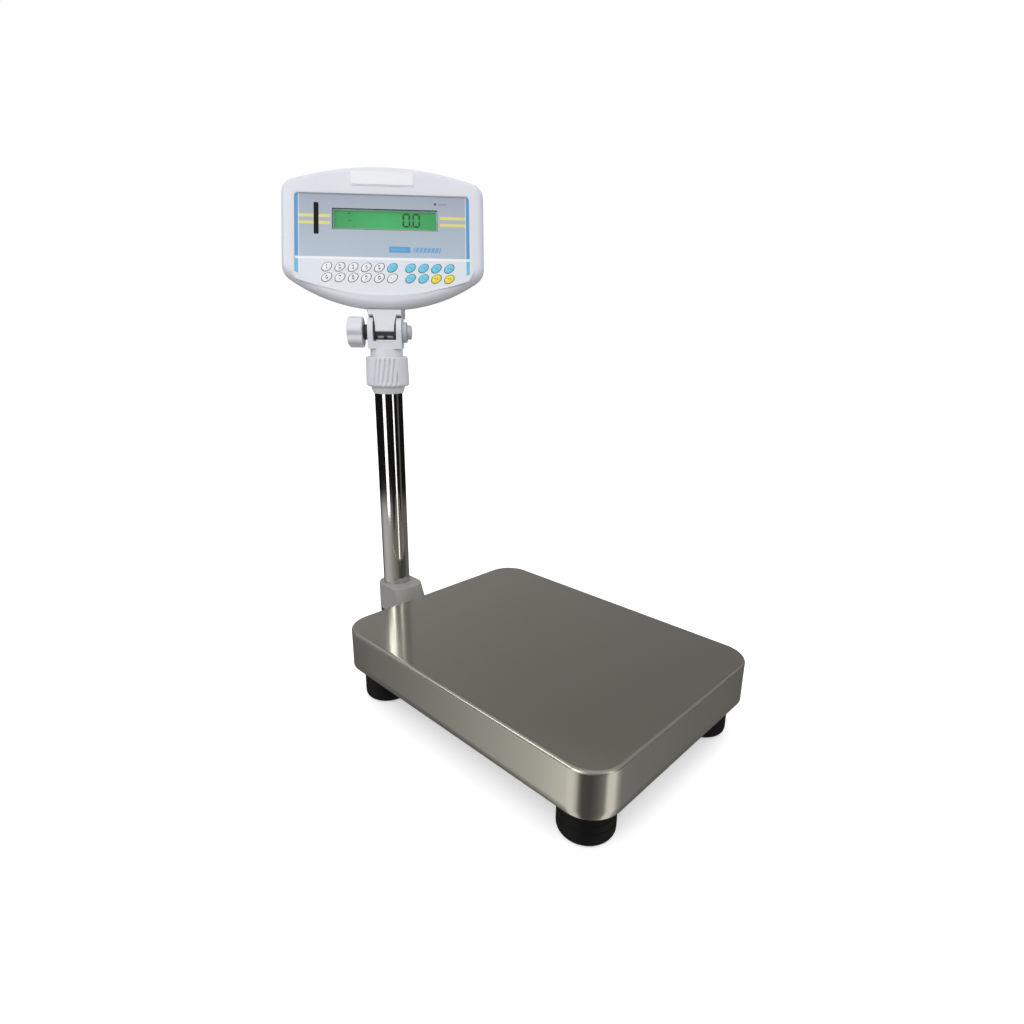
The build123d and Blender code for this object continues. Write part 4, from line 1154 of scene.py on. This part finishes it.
# Display figures: seven-stroke digits and small flags in front of the glass
displayShape = {"height": 16.6 * mm, "width": 8.0 * mm, "stroke": 2.3 * mm, "gap": 0.35 * mm,
                "thick": 0.08 * mm, "firstX": 30.6 * mm, "pitch": 13.0 * mm, "middleZ": 145.6 * mm,
                "flags": (-33.0, -16.0, -10.5, -5.0, 0.5, 6.0, 11.5, 17.0), "flagZ": 131.2 * mm,
                "corner": ((-45.0, 153.4), (-44.0, 143.6)),
                "cornerBars": ((0, 0, 3.2, 0.9), (1.6, 1.6, 1.4, 0.8)),
                "point": 1.8 * mm, "flagWide": (2.4 * mm, 3.6 * mm), "flagHigh": 1.2 * mm}


def makeFigures(s):
    low, high = nodeBox("lcd_module")
    front = low.y
    work = bmesh.new()

    def plate(flat):
        addRings(work, [headRing(flat, y) for y in (front, front - s["thick"])], True, True)

    def stroke(x0, z0, x1, z1):
        along = Vector((x1 - x0, z1 - z0)).normalized()
        across = Vector((-along.y, along.x)) * s["stroke"] / 2
        tip = along * s["stroke"] / 2
        a, b = Vector((x0, z0)) + along * s["gap"], Vector((x1, z1)) - along * s["gap"]
        plate([a, a + tip - across, b - tip - across, b, b - tip + across, a + tip + across])

    w, h = s["width"] / 2, s["height"] / 2
    for digit in (0, 1):
        x, z = s["firstX"] + digit * s["pitch"], s["middleZ"]
        for side in (-1, 1):
            stroke(x - w, z + side * h, x + w, z + side * h)
            stroke(x + side * w, z, x + side * w, z + h)
            stroke(x + side * w, z - h, x + side * w, z)

    def chip(x, z, width, height):
        corners = ((-0.5, -0.5), (0.5, -0.5), (0.5, 0.5), (-0.5, 0.5))
        plate([Vector((x + a * width, z + b * height)) for a, b in corners])

    chip(s["firstX"] + s["pitch"] / 2, s["middleZ"] - h, s["point"], s["point"])
    for i, spot in enumerate(s["flags"]):
        chip(spot * mm, s["flagZ"], s["flagWide"][i % 2], s["flagHigh"])
    for x, z in s["corner"]:
        for right, up, width, height in s["cornerBars"]:
            chip((x + right) * mm, (z + up) * mm, width * mm, height * mm)
    piece = makeObject("displayFigures", finishMesh("displayFigures", work), [prints["figure"]])
    return seat(piece, "head")


makeFigures(displayShape)


# Screws and bolts: heads stood on points, with the recess their driver needs
screwShape = {"least": 1.0 * mm, "headShare": 0.9, "beyond": 0.6, "dome": 0.18, "recess": 0.42,
              "deep": 1.1, "hexagon": 1.6, "arms": ((2.6, 0.55), (0.55, 2.6))}


def screwRecipe(name, material, hexagon):
    recipe = Recipe(name, {"Head Radius": 0.003, "Head Height": 0.002, "Dome": 0.0004, "Shank": 0.0015,
                           "Length": 0.01, "Recess": 0.0012})
    e = recipe.entry
    head = recipe.add("GeometryNodeMeshCylinder", {"fill_type": "TRIANGLE_FAN"},
                      {"Vertices": 28, "Side Segments": 2, "Fill Segments": 4, "Radius": e["Head Radius"],
                       "Depth": e["Head Height"]})
    x, y, z = recipe.axes(recipe.add("GeometryNodeInputPosition"))
    out = (x * x + y * y) / (e["Head Radius"] * e["Head Radius"])
    sink = (z > 0.0) * out * e["Dome"]
    domed = recipe.add("GeometryNodeSetPosition", {},
                       {"Geometry": head, "Offset": recipe.vector(0.0, 0.0, -sink)})
    deep = e["Head Height"] * screwShape["deep"]
    if hexagon:
        cutters = [recipe.add("GeometryNodeMeshCylinder", {"fill_type": "NGON"},
                              {"Vertices": 6, "Radius": e["Recess"] * screwShape["hexagon"], "Depth": deep})]
    else:
        sizes = [recipe.vector(e["Recess"] * a, e["Recess"] * b, deep) for a, b in screwShape["arms"]]
        cutters = [recipe.add("GeometryNodeMeshCube", {}, {"Size": size}) for size in sizes]
    raised = [recipe.shifted(cutter, e["Head Height"] / 2) for cutter in cutters]
    cut = recipe.add("GeometryNodeMeshBoolean", {"operation": "DIFFERENCE", "solver": "EXACT"},
                     {"Mesh 1": domed, "Mesh 2": raised})
    shank = recipe.add("GeometryNodeMeshCylinder", {},
                       {"Vertices": 20, "Radius": e["Shank"], "Depth": e["Length"]})
    hung = recipe.shifted(shank, -(e["Head Height"] + e["Length"]) / 2)
    whole = recipe.add("GeometryNodeJoinGeometry", {}, {"Geometry": [cut, hung]})
    facing = recipe.add("GeometryNodeInputNamedAttribute", {"data_type": "FLOAT_VECTOR"},
                        {"Name": "facing"})
    turn = recipe.add("FunctionNodeAlignRotationToVector", {"axis": "Z"}, {"Vector": facing})
    points = recipe.add("GeometryNodeMeshToPoints", {}, {"Mesh": e["Geometry"], "Radius": 0.001})
    stood = recipe.add("GeometryNodeInstanceOnPoints", {},
                       {"Points": points, "Instance": whole, "Rotation": turn})
    return recipe.close(stood, material)


def makeScrews(node, name, space, outward, hexagon):
    # outward is the head's direction in that space, as a signed axis: 1, 2 or 3, minus for the low side
    axis, sign = abs(outward) - 1, 1 if outward > 0 else -1
    spots, sizes = [], None
    inverse = space.inverted()
    facing = space.to_3x3() @ Vector([sign if i == axis else 0 for i in range(3)])
    for group in islands(node):
        low, high = boxIn(space, group)
        if high[axis] - low[axis] < screwShape["least"]:
            continue
        radius = (high[(axis + 1) % 3] - low[(axis + 1) % 3]) / 2
        centre = (low + high) / 2
        reach = []  # each corner's place along the screw and its distance from the axis
        for spot in group:
            away = (inverse @ spot) - centre
            reach.append((away[axis] + centre[axis], math.hypot(*[away[i] for i in range(3) if i != axis])))
        wide = [place for place, distance in reach if distance > radius * screwShape["headShare"]]
        height = max(wide) - min(wide)
        middle = centre.copy()
        middle[axis] = (max(wide) + min(wide)) / 2
        spots.append(space @ middle)
        beyond = height * screwShape["beyond"]
        thin = min(distance for place, distance in reach if abs(place - middle[axis]) > beyond)
        sizes = {"Head Radius": radius, "Head Height": height, "Dome": height * screwShape["dome"],
                 "Shank": thin, "Length": high[axis] - low[axis] - height,
                 "Recess": radius * screwShape["recess"]}
    mesh = bpy.data.meshes.new(name)
    mesh.from_pydata([tuple(spot) for spot in spots], [], [])
    store = mesh.attributes.new("facing", "FLOAT_VECTOR", "POINT")
    for entry in store.data:
        entry.vector = facing
    recipe = screwRecipe(name + "Recipe", finishes[slotOf[node]], hexagon)
    piece = grow(recipe, name, mesh, sizes)
    settle(piece, Matrix.Identity(4), 35)
    return seat(piece, bodyOf(node), [node])


makeScrews("housing_screws", "housingScrews", headSpace, 2, False)
makeScrews("tilt_bracket_screws", "tiltBracketScrews", headSpace, -3, False)
makeScrews("bracket_bolts", "bracketBolts", Matrix.Identity(4), -3, True)
print("scale: screws")


# Shapes that are right already, with their moulded or machined edges eased: width and segments of the ease
easedCopies = {"swivel_yoke": ("swivelYoke", 0.8 * mm, 3),
               "friction_washers": ("frictionWashers", 0.5 * mm, 2),
               "tilt_bolt": ("tiltBolt", 0.5 * mm, 2), "pivot_bush": ("pivotBush", 0.3 * mm, 2),
               "tilt_bracket": ("tiltBracket", 0.7 * mm, 2), "column_bracket": ("columnBracket", 1.2 * mm, 3),
               "rear_housing": ("rearShell", 0.5 * mm, 2), "clamp_ring": ("clampRing", 0.4 * mm, 2),
               "rocker_switch": ("rockerSwitch", 0.4 * mm, 2)}
eased = {node: softCopy(node, *values) for node, values in easedCopies.items()}
washers = eased["friction_washers"].data
washers.materials.append(finishes["bolt_grey"])
for polygon in washers.polygons:
    if (yokeSpace.inverted() @ polygon.center).x > 0:
        polygon.material_index = 1
print("scale: eased copies")


# Floor, backdrop light and studio light
studio = {"floorSize": 16.0, "floorTone": 0.88, "floorGlow": 0.42, "skyAbove": 0.97, "skyBelow": 0.4,
          "skySeen": 1.0, "mirrorDark": 0.008, "mirrorTint": (1.0, 0.98, 0.94),
          "mirrorDeep": ((-180, 0.62), (-174, 0.25), (-164, 0.1), (-138, 0.09), (-118, 0.16), (-98, 0.3),
                         (-86, 1.0), (-66, 1.0), (-52, 0.5), (-38, 0.3), (-20, 0.17), (60, 0.15), (119, 0.18),
                         (128, 0.34), (138, 0.6), (146, 0.95), (165, 1.0), (180, 0.62)),
          "mirrorMiddle": ((-180, 0.5), (-152, 0.34), (-136, 0.2), (-126, 0.03), (-60, 0.03), (-30, 0.16),
                           (60, 0.16), (96, 0.05), (110, 0.4), (150, 0.58), (180, 0.5)),
          "mirrorHigh": ((0.0, 0.3), (0.3, 0.3), (0.6, 0.22), (0.85, 0.5)),
          "horizonSoft": 0.08, "middleEdge": (-0.25, 0.03), "deepEdge": (-0.42, 0.02)}


def lightBox(name, place, target, size, watts, glossy=True, diffuse=True, tint=(1, 1, 1)):
    data = bpy.data.lights.new(name, "AREA")
    data.shape = "RECTANGLE"
    data.size, data.size_y = size
    data.energy = watts
    data.color = tint
    lamp = bpy.data.objects.new(name, data)
    bpy.context.scene.collection.objects.link(lamp)
    aim = (Vector(target) - Vector(place)).normalized()
    lamp.matrix_world = Matrix.Translation(place) @ aim.to_track_quat("-Z", "Y").to_matrix().to_4x4()
    lamp.visible_camera = False
    lamp.visible_glossy = glossy
    lamp.visible_diffuse = diffuse
    return lamp


def makeStage(s):
    half = s["floorSize"] / 2
    mesh = bpy.data.meshes.new("studioFloor")
    corners = [(-half, -half, 0), (half, -half, 0), (half, half, 0), (-half, half, 0)]
    mesh.from_pydata(corners, [], [(0, 1, 2, 3)])
    finish = Finish("studioFloorPaint")
    cloud = finish.noise(finish.spot(), 3.0, 2.0)
    paper = finish.blend(cloud, (s["floorTone"],) * 3, (s["floorTone"] + 0.02,) * 3)
    paint = finish.paint(paper, 0.9, Specular_IOR_Level=0.1, Emission_Color=(1, 1, 1),
                         Emission_Strength=s["floorGlow"])
    floor = makeObject("studioFloor", mesh, [paint])
    floor.visible_glossy = False
    floor.visible_diffuse = False
    world = bpy.data.worlds.new("studioSky")
    bpy.context.scene.world = world
    world.use_nodes = True
    sky = Graph(world.node_tree)
    ray = sky.nodes.new("ShaderNodeLightPath")
    x, y, z = sky.axes(sky.add("ShaderNodeTexCoord", {}, (), "Generated"))
    bearingShare = y.op("ARCTAN2", y, x) / (2 * math.pi) + 0.5

    def around(stops):  # a tone that changes with the bearing, given in degrees
        shares = [(turn / 360 + 0.5, value) for turn, value in stops]
        return sky.add("ShaderNodeValToRGB", {"stops": shares}, (bearingShare,))

    def below(edge):  # 0 above a height, 1 below it
        return ((edge[0] - z) / edge[1]).held()

    deep, middle = around(s["mirrorDeep"]), around(s["mirrorMiddle"])
    high = sky.add("ShaderNodeValToRGB", {"stops": s["mirrorHigh"]}, (z,))
    lift = (z / s["horizonSoft"]).held()
    sunk = below(s["middleEdge"])
    level = sky.blend(sunk, (s["mirrorDark"],) * 3, middle)
    level = sky.blend(below(s["deepEdge"]), level, deep)
    level = sky.blend(lift, level, high)
    mirrored = sky.blend(level, (0, 0, 0), s["mirrorTint"])
    dome = sky.blend((z * 2 + 0.5).held(), (s["skyBelow"],) * 3, (s["skyAbove"],) * 3)
    plain = sky.blend(Wire(sky, ray.outputs["Is Camera Ray"]), dome, (s["skySeen"],) * 3)
    colour = sky.blend(Wire(sky, ray.outputs["Is Glossy Ray"]), plain, mirrored)
    shine = sky.add("ShaderNodeBackground", {}, {"Color": colour, "Strength": 1.0})
    sky.add("ShaderNodeOutputWorld", {}, {"Surface": shine})


makeStage(studio)
tubeLow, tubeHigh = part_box("column_tube")
tubeMiddle = (tubeLow + tubeHigh) / 2
toCamera = Vector(cameraView["place"]) - tubeMiddle
bearing = math.atan2(toCamera.y, toCamera.x)


# Lamps that show in the column: turn from the view line, width, lowest and highest point, brightness
stripShape = {"distance": 2.0, "strips": (
    ("leftStrip", 42, 0.78, -0.4, 0.35, 2.3, (1, 1, 1)),
    ("leftHighStrip", 42, 0.72, 0.35, 1.7, 3.6, (1, 1, 1)),
    ("rightStrip", -34, 0.36, -0.52, 0.35, 2.0, (1, 1, 1)),
    ("rightHighStrip", -34, 0.3, 0.35, 1.7, 2.6, (1, 1, 1)),
    ("edgeStrip", -76, 0.5, -0.6, 1.2, 0.12, (1, 0.95, 0.88)))}
softBoxes = (("keyBox", (-1.5, -0.6, 1.9), (0, 0.1, 0.3), (1.2, 1.2), 13, False, True),
             ("edgeBox", (-1.7, 1.0, 1.5), (0, 0, 0.1), (1.0, 0.7), 10, True, False))
for name, turn, width, lowest, highest, brightness, tint in stripShape["strips"]:
    angle = bearing - math.radians(turn)
    middleZ = (lowest + highest) / 2
    place = (tubeMiddle.x + stripShape["distance"] * math.cos(angle),
             tubeMiddle.y + stripShape["distance"] * math.sin(angle), middleZ)
    watts = brightness * math.pi * width * (highest - lowest)
    target = (tubeMiddle.x, tubeMiddle.y, middleZ)
    lightBox(name, place, target, (width, highest - lowest), watts, True, False, tint)
for box in softBoxes:
    lightBox(*box)
print("scale: stage and light")
